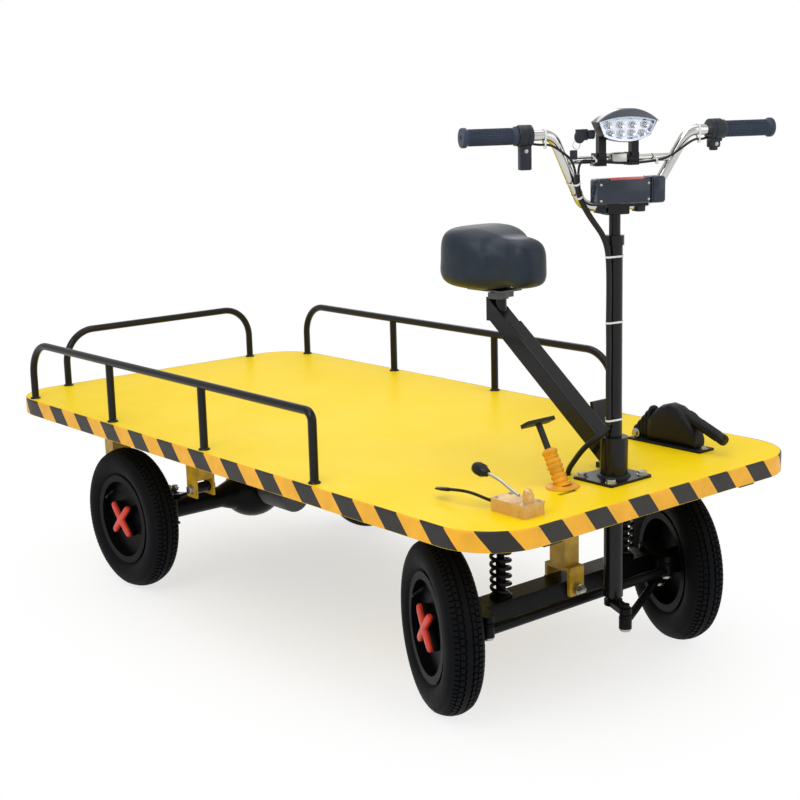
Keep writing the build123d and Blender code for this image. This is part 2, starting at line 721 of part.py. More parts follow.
# Clamps that hold each leaf spring down on the axle
strap_x, strap_bolt = axle_tube_radius + 6, 5
strap_half = strap_x + 8
strap_y = leaf_width / 2 + strap_bolt + 0.5
clamp_low = wheel_z - axle_tube_radius - running_gap - seat_sheet
clamp_top = pack_top + leaf_rise * (strap_half / leaf_reach) ** 2 + running_gap
saddle_low = wheel_z + axle_tube_radius + running_gap
with BuildPart() as axle_clamps:
    for low, sheet in ((clamp_low, seat_sheet), (saddle_low, seat_sheet - 2 * running_gap), (clamp_top, seat_sheet)):
        with Locations((0, 0, low)):
            Box(2 * strap_half, 2 * strap_y + 12, sheet, align=(Align.CENTER, Align.CENTER, Align.MIN))
    with Locations((0, 0, clamp_low)):
        with GridLocations(2 * strap_x, 2 * strap_y, 2, 2):
            Cylinder(strap_bolt, clamp_top + seat_sheet + 6 - clamp_low,
                     align=(Align.CENTER, Align.CENTER, Align.MIN))
pair(axle_clamps, "axle_clamps", rear_axle_x, beam_y)

# Steel bolts: the column plate's, the front pivot's and the leaf springs' pins
head_height, head_radius = 5, 8
with BuildPart() as bolts:
    with Locations((column_x - 4, 0, plate_top)):
        with GridLocations(2 * bolt_x, 2 * bolt_y, 2, 2):
            Cylinder(head_radius, head_height, align=(Align.CENTER, Align.CENTER, Align.MIN))
            Cylinder(bolt_radius, base_plate_sheet, align=(Align.CENTER, Align.CENTER, Align.MAX))
    with Locations(Location((front_axle_x, 0, pivot_z), (0, 90, 0))):
        Cylinder(pivot_radius, 2 * (fork_inside + cheek_sheet + 10))
    for end in (-1, 1):
        with Locations(Location((front_axle_x + end * (fork_inside + cheek_sheet + 5.2), 0, pivot_z), (0, 90, 0))):
            Cylinder(14, 10)
    for side in (-1, 1):
        for x in (-leaf_reach, leaf_reach):
            with Locations(Location((rear_axle_x + x, side * beam_y, eye_z), (90, 0, 0))):
                Cylinder(pin_radius, hanger_width + 12)
save(bolts, "steel_bolts")

# Seat post: a square tube braced against the sleeve, a smaller one inside it, and its end plate
slope = radians(seat_post_slope)
post_plane = Plane((sleeve_x, 0, seat_post_foot_z), x_dir=(sin(slope), 0, cos(slope)),
                   z_dir=(-cos(slope), 0, sin(slope)))
outer_length = (sleeve_x - seat_post_joint_x) / cos(slope)
inner_tube = seat_tube - 2 * seat_tube_wall - 1
with BuildPart() as seat_post:
    with BuildSketch(post_plane.offset(-seat_tube)):
        RectangleRounded(seat_tube, seat_tube, 4)
        Rectangle(seat_tube - 2 * seat_tube_wall, seat_tube - 2 * seat_tube_wall, mode=Mode.SUBTRACT)
    extrude(amount=outer_length + seat_tube)
    with Locations((column_x, 0, plate_top)):
        Cylinder(sleeve_radius, 400, align=(Align.CENTER, Align.CENTER, Align.MIN), mode=Mode.SUBTRACT)
        Box(200, 200, 200, align=(Align.MIN, Align.CENTER, Align.CENTER), mode=Mode.SUBTRACT)
save(seat_post, "seat_post")

plate_sheet, plate_rise, tube_overlap = 7, 27, 120
post_end_z = seat_post_foot_z + (sleeve_x - seat_post_end_x) * sin(slope) / cos(slope)
clamp_x = seat_post_end_x + 22
clamp_bottom = seat_bottom - 22
with BuildPart() as seat_stem:
    with BuildSketch(post_plane.offset(outer_length - tube_overlap)):
        Rectangle(inner_tube, inner_tube)
    extrude(amount=tube_overlap + 120)
    with Locations((seat_post_end_x, 0, post_end_z)):
        Box(200, 200, 400, align=(Align.MAX, Align.CENTER, Align.CENTER), mode=Mode.SUBTRACT)
    with Locations((seat_post_end_x, 0, post_end_z)):
        Box(plate_sheet, inner_tube, 2 * plate_rise, align=(Align.MAX, Align.CENTER, Align.CENTER))
    with Locations((clamp_x, 0, clamp_bottom)):
        Cylinder(13, 46, align=(Align.CENTER, Align.CENTER, Align.MAX))
save(seat_stem, "seat_stem")

# Seat clamp and cushion
pan_sheet = 4
with BuildPart() as seat_clamp:
    with Locations((clamp_x, 0, clamp_bottom)):
        Cylinder(18, seat_bottom - clamp_bottom - pan_sheet, align=(Align.CENTER, Align.CENTER, Align.MIN))
    with Locations((seat_x - 14, 0, seat_bottom)):
        Box(110, 66, pan_sheet, align=(Align.CENTER, Align.CENTER, Align.MAX))
    with Locations((clamp_x, 0, clamp_bottom + 9)):
        Box(20, 62, 14)
save(seat_clamp, "seat_clamp")

seat_back, seat_front = seat_x - seat_length / 2, seat_x + seat_length / 2
nose_half = 52
with BuildPart() as seat_cushion:
    with BuildSketch(Plane.XY.offset(seat_bottom)):
        with BuildLine():
            waist_x = seat_x + 42
            back_curve = ThreePointArc((seat_x - 40, seat_width / 2), (seat_back, 0), (seat_x - 40, -seat_width / 2))
            nose_curve = ThreePointArc((seat_front - 40, nose_half), (seat_front, 0), (seat_front - 40, -nose_half))
            for end, side in ((0, 1), (1, -1)):
                flank = ThreePointArc(back_curve @ end, (seat_x + 12, side * seat_width * 0.46),
                                      (waist_x, side * (nose_half + 20)))
                Line(flank @ 1, nose_curve @ end)
        make_face()
    extrude(amount=seat_thickness)
    fillet(seat_cushion.faces().sort_by(Axis.Z)[-1].edges(), 34)
    fillet(seat_cushion.faces().sort_by(Axis.Z)[0].edges(), 12)
    seat_top = seat_bottom + seat_thickness
    with BuildSketch(Plane.XZ.offset(-seat_width)):
        past = seat_front + 1
        Polygon((seat_x + 20, seat_bottom), (past, seat_bottom), (past, seat_bottom + seat_nose_low), align=None)
        Polygon((seat_x - 20, seat_top), (past, seat_top), (past, seat_top - seat_nose_drop), align=None)
    extrude(amount=2 * seat_width, mode=Mode.SUBTRACT)
save(seat_cushion, "seat_cushion")

# Foot pedals: the brake's T-shaped one, and the throttle's plate behind the column
pedal_lean = radians(29)
pedal_rod, pedal_rise = 7, 142
tee_length, tee_width, tee_sheet = 83, 30, 8
throttle_foot, throttle_lean = (column_x - 77, 62), radians(9)
throttle_reach, throttle_width, throttle_height = 118, 50, 62
hinge_height = 12


def leaning_plane(foot, lean):
    """Plane across a pedal arm that leans back towards the seat from its foot on the deck."""
    return Plane((*foot, deck_top), x_dir=(cos(lean), 0, sin(lean)), z_dir=(-sin(lean), 0, cos(lean)))


brake_plane = leaning_plane(foot_pedal_hole[:2], pedal_lean)
throttle_plane = leaning_plane(throttle_foot, throttle_lean)
with BuildPart() as pedals:
    with BuildSketch(brake_plane.offset(-40)):
        Circle(pedal_rod)
    extrude(amount=pedal_rise + 40)
    with BuildSketch(brake_plane.offset(pedal_rise)):
        RectangleRounded(tee_width, tee_length, 6)
    extrude(amount=tee_sheet)
    with BuildSketch(throttle_plane):
        Circle(5)
    extrude(amount=throttle_reach)
    with BuildSketch(throttle_plane.offset(throttle_reach - throttle_height / 2)):
        RectangleRounded(9, throttle_width, 2)
    extrude(amount=throttle_height)
    with Locations((*throttle_foot, deck_top)):
        Box(30, 36, hinge_height, align=(Align.CENTER, Align.CENTER, Align.MIN))
    with Locations((*throttle_foot, deck_top)):
        Box(60, 60, 60, align=(Align.CENTER, Align.CENTER, Align.MAX), mode=Mode.SUBTRACT)
save(pedals, "pedals")

# Ribbed yellow sleeve round the foot of the brake pedal
sleeve_ribs, rib_pitch, rib_outer, rib_inner = 6, 14, 17, 13
with BuildPart() as pedal_sleeve:
    with BuildSketch(Plane.XZ):
        ribs = []
        for rib in range(sleeve_ribs):
            low = rib * rib_pitch
            ribs += [(rib_outer, low + 3), (rib_outer, low + rib_pitch - 5), (rib_inner, low + rib_pitch - 2)]
        bore = pedal_rod + running_gap
        with BuildLine():
            Polyline((bore, -12), (rib_outer, -12), *ribs, (bore, sleeve_ribs * rib_pitch - 2), close=True)
        make_face()
    revolve(axis=Axis.Z)
    with Locations(Location((0, 0, 0), (0, degrees(pedal_lean), 0))):
        Box(80, 80, 40, align=(Align.CENTER, Align.CENTER, Align.MAX), mode=Mode.SUBTRACT)
sleeve_place = Location((*foot_pedal_hole[:2], deck_top), (0, -degrees(pedal_lean), 0))
save(pedal_sleeve, "pedal_sleeve", sleeve_place)

# Gear levers, measured from the column's axis: a plated box on the deck, two bent rods and their ends
box_x, box_y, box_size = 40, -328, (98, 58, 25)
lever_radius = 3.2
post_x, post_size, post_height = 71, 16, 20
lever_box_top = deck_top + box_size[2]
box_back = box_x - box_size[0] / 2
with BuildPart() as lever_box:
    with Locations((box_x, box_y, deck_top)):
        Box(*box_size, align=(Align.CENTER, Align.CENTER, Align.MIN))
    fillet(lever_box.edges().filter_by(Axis.Z), 5)
    with Locations((post_x, box_y, lever_box_top)):
        Box(post_size, post_size, post_height, align=(Align.CENTER, Align.CENTER, Align.MIN))
save(lever_box, "lever_box", column_place)

post_face = post_x - post_size / 2
upper_lever = [
    (post_face - running_gap, box_y, 516), (41, box_y, 516), (8, box_y, 535), (-46, box_y, 545)]
lower_lever = [
    (box_back - running_gap, -342, 495), (-28, -342, 495), (-62, -355, 506), (-94, -363, 507), (-122, -364, 503)]


with BuildPart() as lever_rods:
    with BuildLine() as upper_path:
        FilletPolyline(*upper_lever, radius=[20, 30])
    with BuildSketch(Plane(upper_path.line @ 0, z_dir=upper_path.line % 0)):
        Circle(lever_radius)
    sweep(path=upper_path.line)
    with BuildLine() as lower_path:
        FilletPolyline(*lower_lever, radius=[20, 26, 24])
    with BuildSketch(Plane(lower_path.line @ 0, z_dir=lower_path.line % 0)):
        Circle(lever_radius)
    sweep(path=lower_path.line)
save(lever_rods, "lever_rods", column_place)

with BuildPart() as lever_knobs:
    for start, end, thickness in ((*upper_lever[-2:], 13), (*lower_lever[-2:], 8)):
        heading = Vector(*end) - Vector(*start)
        with BuildSketch(Plane(end, z_dir=heading)):
            Circle(thickness * 0.8)
        extrude(amount=4)
        with BuildSketch(Plane(end, z_dir=heading).offset(4)):
            Circle(thickness)
        extrude(amount=36)
save(lever_knobs, "lever_knobs", column_place)

# Hand brake, measured from the column's axis: base plate, hood and handle, with a ribbed boot behind them
brake_y, brake_width, brake_rear, brake_front = 320, 46, -219, -4
hood_rear, hood_front, brake_sheet, hood_curve = -160, -26, 6, 60
hood_shoulder, hood_crown = 552, (-102, 588)
brake_base = deck_top + brake_sheet
handle_start, handle_end, handle_radius = (-52, brake_y, 552), (49, brake_y, 512), 13
with BuildPart() as hand_brake:
    with BuildSketch(Plane.XY.offset(deck_top)):
        with Locations(((brake_rear + brake_front) / 2, brake_y)):
            RectangleRounded(brake_front - brake_rear, brake_width + 8, 8)
    extrude(amount=brake_sheet)
    with BuildSketch(Plane.XZ.offset(-brake_y - brake_width / 2)):
        with BuildLine():
            Polyline((hood_rear, hood_shoulder), (hood_rear, brake_base), (hood_front, brake_base),
                     (hood_front - 6, hood_shoulder))
            ThreePointArc((hood_front - 6, hood_shoulder), hood_crown, (hood_rear, hood_shoulder))
        make_face()
    extrude(amount=brake_width)
    fillet(hand_brake.edges().filter_by(GeomType.CIRCLE).filter_by(lambda e: e.radius > hood_curve), 5)
    handle_length = hypot(handle_end[0] - handle_start[0], handle_end[2] - handle_start[2])
    with BuildSketch(Plane(handle_start, z_dir=Vector(*handle_end) - Vector(*handle_start))):
        Circle(handle_radius)
    extrude(amount=handle_length)
save(hand_brake, "hand_brake", column_place)

boot_folds = 4
with BuildPart() as hand_brake_boot:
    with BuildSketch(Plane.XZ.offset(-brake_y - brake_width / 2 + 3)):
        rear, step_x, step_z = brake_rear + 7, 12.5, 14
        folds = []
        for fold in range(boot_folds):
            x, z = rear + fold * step_x, brake_base + 16 + fold * step_z
            folds += [(x - 4, z), (x - 1, z + step_z * 0.7), (x + 6, z + step_z * 0.8)]
        with BuildLine():
            Polyline((hood_rear - 0.3, brake_base), (rear, brake_base), *folds,
                     (hood_rear - 0.3, hood_shoulder - 4), close=True)
        make_face()
    extrude(amount=brake_width - 6)
save(hand_brake_boot, "hand_brake_boot", column_place)


# Cables that the truck holds along their whole length, as lists of points chosen by hand and measured
# from the column's axis
cable_radius, loom_radius = 2.5, 6
right_cable = [
    (28, -194.3, 1195), (29, -180, 1192), (40, -158, 1193), (43, -133, 1176), (41, -110, 1158),
    (36.5, -103, 1132.3)]
left_cable = [
    (28, 194.3, 1195), (30, 181, 1191), (42, 158, 1194), (43, 128, 1176), (38, 100, 1157), (37, 62, 1151),
    (38, 12, 1149), (38.5, -40, 1153), (38.5, -70, 1158), (37, -97, 1158.5), (36.5, -97, 1132.3)]
loom = [(36.5, -100, 1131.5), (35, -99.5, 1112), (30, -92.5, 1088), (25.5, -77, 1059), (21, -56, 1031),
        (18.5, -36, 1006), (17.2, -24, 978), (16.8, -20.2, 940), (18.6, -20.7, 880), (16.9, -20.8, 822),
        (18.2, -20.4, 766), (16.8, -20.7, 708), (18, -21, 652), (16.8, -20, 603)]
loom_tail = [(7.4, -25.2, 599.8), (5.5, -29, 591), (-6, -40, 577), (-27, -46, 562), (-50, -47.5, 540),
             (-72, -47.5, 513), (-90, -47, 490), (-93, -47, 468)]


def cord(points, radius):
    """A cable along straight runs joined by arcs as large as the runs allow, and its radii."""
    corners = [Vector(*point) for point in points]
    radii = []
    for before, corner, after in zip(corners, corners[1:], corners[2:]):
        runs = (corner - before, after - corner)
        half_turn = radians(runs[0].get_angle(runs[1])) / 2
        radii.append(0.45 * min(run.length for run in runs) / tan(half_turn))
    with BuildPart() as cable:
        with BuildLine() as path:
            FilletPolyline(*points, radius=radii)
        with BuildSketch(Plane(path.line @ 0, z_dir=path.line % 0)):
            Circle(radius)
        sweep(path=path.line)
    length = sum(edge.length for edge in path.edges())
    return cable, min(radii), length


for name, points, radius, place in (
        ("cable_right", right_cable, cable_radius, steering_place),
        ("cable_left", left_cable, cable_radius, steering_place),
        ("loom", loom, loom_radius, steering_place),
        ("loom_tail", loom_tail, loom_radius, column_place)):
    cable, tightest, length = cord(points, radius)
    print(name, "length", round(length), "tightest arc", round(tightest, 1))
    save(cable, name, place)
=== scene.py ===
"""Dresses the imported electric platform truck: paint, tape, tyres, springs, saddle, lamp and cables.

Metres, in the CAD frame: +X forward, +Y left, +Z up, the origin on the ground. What belongs to the
handlebar is drawn in the bar's own frame, x forward and y left of the column's axis, and turned with it.
"""
import json
from math import atan2, copysign, cos, exp, hypot, pi, radians, sin, tau

import bmesh
import bpy
from mathutils import Matrix, Vector, noise


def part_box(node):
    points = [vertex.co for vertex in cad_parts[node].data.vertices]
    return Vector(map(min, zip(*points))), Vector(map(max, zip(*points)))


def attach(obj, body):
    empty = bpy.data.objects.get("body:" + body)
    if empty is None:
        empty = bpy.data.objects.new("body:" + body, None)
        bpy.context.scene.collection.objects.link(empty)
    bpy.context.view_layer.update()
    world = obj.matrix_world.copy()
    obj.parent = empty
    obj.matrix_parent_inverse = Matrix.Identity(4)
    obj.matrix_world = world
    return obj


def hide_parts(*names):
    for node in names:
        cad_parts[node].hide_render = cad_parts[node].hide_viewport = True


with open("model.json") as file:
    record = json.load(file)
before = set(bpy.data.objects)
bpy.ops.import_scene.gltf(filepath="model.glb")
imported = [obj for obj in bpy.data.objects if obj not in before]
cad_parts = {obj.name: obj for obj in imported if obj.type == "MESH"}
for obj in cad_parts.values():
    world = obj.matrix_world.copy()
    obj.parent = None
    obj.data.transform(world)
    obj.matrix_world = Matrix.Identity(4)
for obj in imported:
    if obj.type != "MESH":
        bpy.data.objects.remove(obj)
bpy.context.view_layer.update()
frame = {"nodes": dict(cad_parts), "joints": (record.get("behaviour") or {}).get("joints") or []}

bl_info = {
    "name": "Platform truck",
    "version": (1, 0, 0),
    "blender": (4, 5, 0),
    "location": "View3D > Sidebar > Truck",
    "description": "Builds the finishes and fine pieces of an electric platform truck",
    "category": "Object",
}

# Places read from the frame
deck_low, deck_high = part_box("deck")
column_low, column_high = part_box("steering_column")
seat_low, seat_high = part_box("seat_cushion")
column_x = (column_low[0] + column_high[0]) / 2
deck_top = deck_high[2]
plate_top = deck_top + 0.006
resting_turn = radians(-23.5)
bar_frame = Matrix.Translation((column_x, 0, 0)) @ Matrix.Rotation(resting_turn, 4, "Z")
joints = {joint["name"]: joint for joint in frame["joints"]}
wheel_corners = ("front_right", "front_left", "rear_right", "rear_left")


def colour_setting(label, note, value):
    """A colour that can be set in the panel."""
    return bpy.props.FloatVectorProperty(name=label, description=note, subtype="COLOR", size=3, default=value)


def number_setting(label, note, value, unit="LENGTH"):
    """A length, or a number in another unit, that can be set in the panel."""
    return bpy.props.FloatProperty(name=label, description=note, unit=unit, default=value)


class TruckPaint(bpy.types.PropertyGroup):
    """Colours of the finishes."""
    deck_yellow: colour_setting("Deck yellow", "Gloss paint of the deck", (0.86, 0.61, 0.004))
    # Painted shade: the fork and spring hangers under the deck get a darker yellow than the deck's.
    bracket_yellow_shaded: colour_setting(
        "Shaded bracket yellow", "Yellow of the fork and spring hangers, darkened as painted shade under the deck", (0.60, 0.36, 0.012))
    tape_amber: colour_setting("Tape amber", "Light stripes of the hazard tape", (0.86, 0.42, 0.02))
    tape_black: colour_setting("Tape black", "Dark stripes of the hazard tape", (0.022, 0.019, 0.016))
    gloss_black: colour_setting("Gloss black", "Powder coat of the rails and column", (0.006, 0.006, 0.007))
    hub_red: colour_setting("Hub red", "Paint of the wheels' crosses", (0.66, 0.040, 0.016))
    seat_black: colour_setting("Seat black", "Vinyl of the saddle", (0.011, 0.020, 0.034))


class TruckTape(bpy.types.PropertyGroup):
    """Hazard tape round the deck's edge."""
    side_pitch: number_setting("Side pitch", "Length of one pair of stripes along the sides", 0.1416)
    bend_pitch: number_setting("Corner pitch", "Length of one pair of stripes round a corner", 0.134)
    end_pitch: number_setting("Front pitch", "Length of one pair of stripes across the front", 0.1285)
    lean: number_setting("Lean", "How far a stripe leans over the tape's height", 0.037)
    thickness: number_setting("Thickness", "How far the tape stands off the steel", 0.0005)


class TruckTyres(bpy.types.PropertyGroup):
    """Tread of the tyres."""
    groove: number_setting("Groove depth", "Depth of the tread", 0.005)
    block_count: bpy.props.IntProperty(name="Blocks", description="Blocks in one ring of the tread", default=76)
    lug_count: bpy.props.IntProperty(name="Shoulder lugs", description="Lugs round one shoulder", default=96)


class TruckSprings(bpy.types.PropertyGroup):
    """Coil springs over the front axle."""
    wire: number_setting("Wire", "Radius of the spring's wire", 0.0042)
    pitch: number_setting("Pitch", "Rise of one coil", 0.0175)


class TruckSeat(bpy.types.PropertyGroup):
    """Simulated swelling of the saddle's cover."""
    voxel: number_setting("Voxel", "Size of the remeshed faces", 0.005)
    pressure: number_setting("Pressure", "Pressure inside the cover", 4.0, "NONE")
    swell: number_setting("Swell", "Furthest that a point may move", 0.004)


class TruckStudio(bpy.types.PropertyGroup):
    """Studio lights."""
    key_power: number_setting("Key", "Power of the key lamp", 70.0, "POWER")
    fill_power: number_setting("Fill", "Power of the fill lamp", 26.0, "POWER")
    sky: number_setting("Sky", "Strength of the world's light", 0.72, "NONE")


settings_groups = {
    "truck_paint": TruckPaint, "truck_tape": TruckTape, "truck_tyres": TruckTyres, "truck_springs": TruckSprings,
    "truck_seat": TruckSeat, "truck_studio": TruckStudio}


# Shader node groups
def shader_group(name, inputs, outputs):
    """A new shader group with its input and output nodes."""
    group = bpy.data.node_groups.new(name, "ShaderNodeTree")
    for label, kind, default in inputs:
        socket = group.interface.new_socket(label, in_out="INPUT", socket_type="NodeSocket" + kind)
        socket.default_value = default
    for label, kind in outputs:
        group.interface.new_socket(label, in_out="OUTPUT", socket_type="NodeSocket" + kind)
    return group, group.nodes.new("NodeGroupInput"), group.nodes.new("NodeGroupOutput")


def add_node(tree, kind, inputs=None, **settings):
    """A node with its settings, and inputs that are values or other nodes' sockets."""
    node = tree.nodes.new(kind)
    for key, value in settings.items():
        setattr(node, key, value)
    for key, value in (inputs or {}).items():
        if isinstance(value, bpy.types.NodeSocket):
            tree.links.new(value, node.inputs[key])
        else:
            node.inputs[key].default_value = value
    return node


def mixed(tree, factor, first, second):
    """Colour between two colours."""
    node = add_node(tree, "ShaderNodeMix", data_type="RGBA")
    for number, value in ((0, factor), (6, first), (7, second)):
        if isinstance(value, bpy.types.NodeSocket):
            tree.links.new(value, node.inputs[number])
        else:
            node.inputs[number].default_value = (*value[:3], 1) if number else value
    return node.outputs[2]


def calculated(tree, operation, first, second=0.0):
    """Result of one maths node."""
    return add_node(tree, "ShaderNodeMath", {0: first, 1: second}, operation=operation).outputs[0]


def object_noise(tree, scale, detail=2.0, roughness=0.5):
    """A noise in the object's own coordinates."""
    return add_node(tree, "ShaderNodeTexNoise", {
        "Vector": add_node(tree, "ShaderNodeTexCoord").outputs["Object"], "Scale": scale, "Detail": detail,
        "Roughness": roughness}).outputs["Fac"]


def noise_mask_group():
    """Soft patches: a noise in object coordinates, spread between two levels."""
    group, start, end = shader_group(
        "Patches", (("Scale", "Float", 20.0), ("Low", "Float", 0.4), ("High", "Float", 0.6)), (("Mask", "Float"),))
    patch = object_noise(group, start.outputs["Scale"], 4.0, 0.6)
    spread = add_node(group, "ShaderNodeMapRange", {
        "Value": patch, "From Min": start.outputs["Low"], "From Max": start.outputs["High"]})
    group.links.new(spread.outputs["Result"], end.inputs["Mask"])
    return group


def relief_group():
    """Fine relief of a coated or cast surface."""
    group, start, end = shader_group(
        "Relief", (("Scale", "Float", 200.0), ("Height", "Float", 0.0001)), (("Normal", "Vector"),))
    height = object_noise(group, start.outputs["Scale"], 3.0)
    bump = add_node(group, "ShaderNodeBump", {
        "Strength": 1.0, "Distance": start.outputs["Height"], "Height": height})
    group.links.new(bump.outputs["Normal"], end.inputs["Normal"])
    return group


def grain_group():
    """Leather-like cells of vinyl."""
    group, start, end = shader_group(
        "Grain", (("Scale", "Float", 500.0), ("Height", "Float", 0.0001)), (("Normal", "Vector"),))
    place = add_node(group, "ShaderNodeTexCoord").outputs["Object"]
    cells = add_node(group, "ShaderNodeTexVoronoi", {"Vector": place, "Scale": start.outputs["Scale"]},
                     feature="SMOOTH_F1")
    folds = calculated(group, "MULTIPLY", object_noise(group, 60.0, 3.0), 1.5)
    height = calculated(group, "ADD", cells.outputs["Distance"], folds)
    bump = add_node(group, "ShaderNodeBump", {
        "Strength": 1.0, "Distance": start.outputs["Height"], "Height": height})
    group.links.new(bump.outputs["Normal"], end.inputs["Normal"])
    return group


def dust_group():
    """Dust that lies on what faces up, in patches."""
    group, start, end = shader_group(
        "Dust", (("Colour", "Color", (0.5, 0.5, 0.5, 1)), ("Dust", "Color", (0.42, 0.38, 0.32, 1)),
                 ("Amount", "Float", 0.2), ("Scale", "Float", 9.0)), (("Colour", "Color"), ("Mask", "Float")))
    up = add_node(group, "ShaderNodeSeparateXYZ", {
        "Vector": add_node(group, "ShaderNodeNewGeometry").outputs["Normal"]}).outputs["Z"]
    facing = add_node(group, "ShaderNodeMapRange", {"Value": up, "From Min": -0.2, "From Max": 0.9}).outputs["Result"]
    patch = object_noise(group, start.outputs["Scale"], 6.0, 0.65)
    spread = add_node(group, "ShaderNodeMapRange", {
        "Value": patch, "From Min": 0.35, "From Max": 0.75}).outputs["Result"]
    mask = calculated(group, "MULTIPLY", calculated(group, "MULTIPLY", facing, spread), start.outputs["Amount"])
    group.links.new(mixed(group, mask, start.outputs["Colour"], start.outputs["Dust"]), end.inputs["Colour"])
    group.links.new(mask, end.inputs["Mask"])
    return group


groups = {}
surfaces = {}


def placed_group(tree, name, **values):
    """One of the shared groups, placed in a material with its own values."""
    node = tree.nodes.new("ShaderNodeGroup")
    node.node_tree = groups[name]
    for key, value in values.items():
        label = key.replace("_", " ").capitalize()
        if isinstance(value, bpy.types.NodeSocket):
            tree.links.new(value, node.inputs[label])
        else:
            node.inputs[label].default_value = value
    return node


def surface(name, colour, roughness, relief, metallic=0.0, coat=0.0, spread=0.08, shade=0.75, patch=14.0, dust=0.12,
            specular=0.5, colour_source=None):
    """A finish: patchy colour and roughness, fine relief as (scale, height) and a little dust."""
    material = bpy.data.materials.new(name)
    material.use_nodes = True
    tree = material.node_tree
    shader = tree.nodes["Principled BSDF"]
    for label, value in {"Metallic": metallic, "Coat Weight": coat, "Coat Roughness": 0.08,
                         "Specular IOR Level": specular}.items():
        shader.inputs[label].default_value = value
    mask = placed_group(tree, "Patches", scale=patch, low=0.35, high=0.68).outputs["Mask"]
    base = colour_source(tree) if colour_source else (*colour, 1)
    darker = mixed(tree, mask, base, mixed(tree, 1 - shade, base, (0.0, 0.0, 0.0)))
    dusty = placed_group(tree, "Dust", colour=darker, amount=dust)
    tree.links.new(dusty.outputs["Colour"], shader.inputs["Base Color"])
    rough = calculated(tree, "MULTIPLY", mask, spread)
    rough = calculated(tree, "ADD", rough, roughness - spread / 2)
    rough = calculated(tree, "ADD", rough, calculated(tree, "MULTIPLY", dusty.outputs["Mask"], 0.5))
    tree.links.new(rough, shader.inputs["Roughness"])
    normal = placed_group(tree, "Relief", scale=relief[0], height=relief[1]).outputs["Normal"]
    tree.links.new(normal, shader.inputs["Normal"])
    surfaces[name] = material
    return material


def stripe_colours(tree):
    """Slanting stripes from the tape's own UV map: u counts pairs of stripes and v is the height."""
    paint = bpy.context.scene.truck_paint
    tape = bpy.context.scene.truck_tape
    tape_map = add_node(tree, "ShaderNodeUVMap", uv_map="Tape").outputs[0]
    uv = add_node(tree, "ShaderNodeSeparateXYZ", {"Vector": tape_map})
    wander = object_noise(tree, 160.0)
    height = deck_high[2] - deck_low[2]
    depth = calculated(tree, "SUBTRACT", uv.outputs["Y"], height)
    lean = calculated(tree, "MULTIPLY", depth, tape.lean / tape.side_pitch / height)
    along = calculated(tree, "ADD", uv.outputs["X"], lean)
    along = calculated(tree, "ADD", along, calculated(tree, "MULTIPLY", wander, 0.008))
    dark = calculated(tree, "LESS_THAN", calculated(tree, "FRACT", along), 0.5)
    return mixed(tree, dark, paint.tape_amber, paint.tape_black)


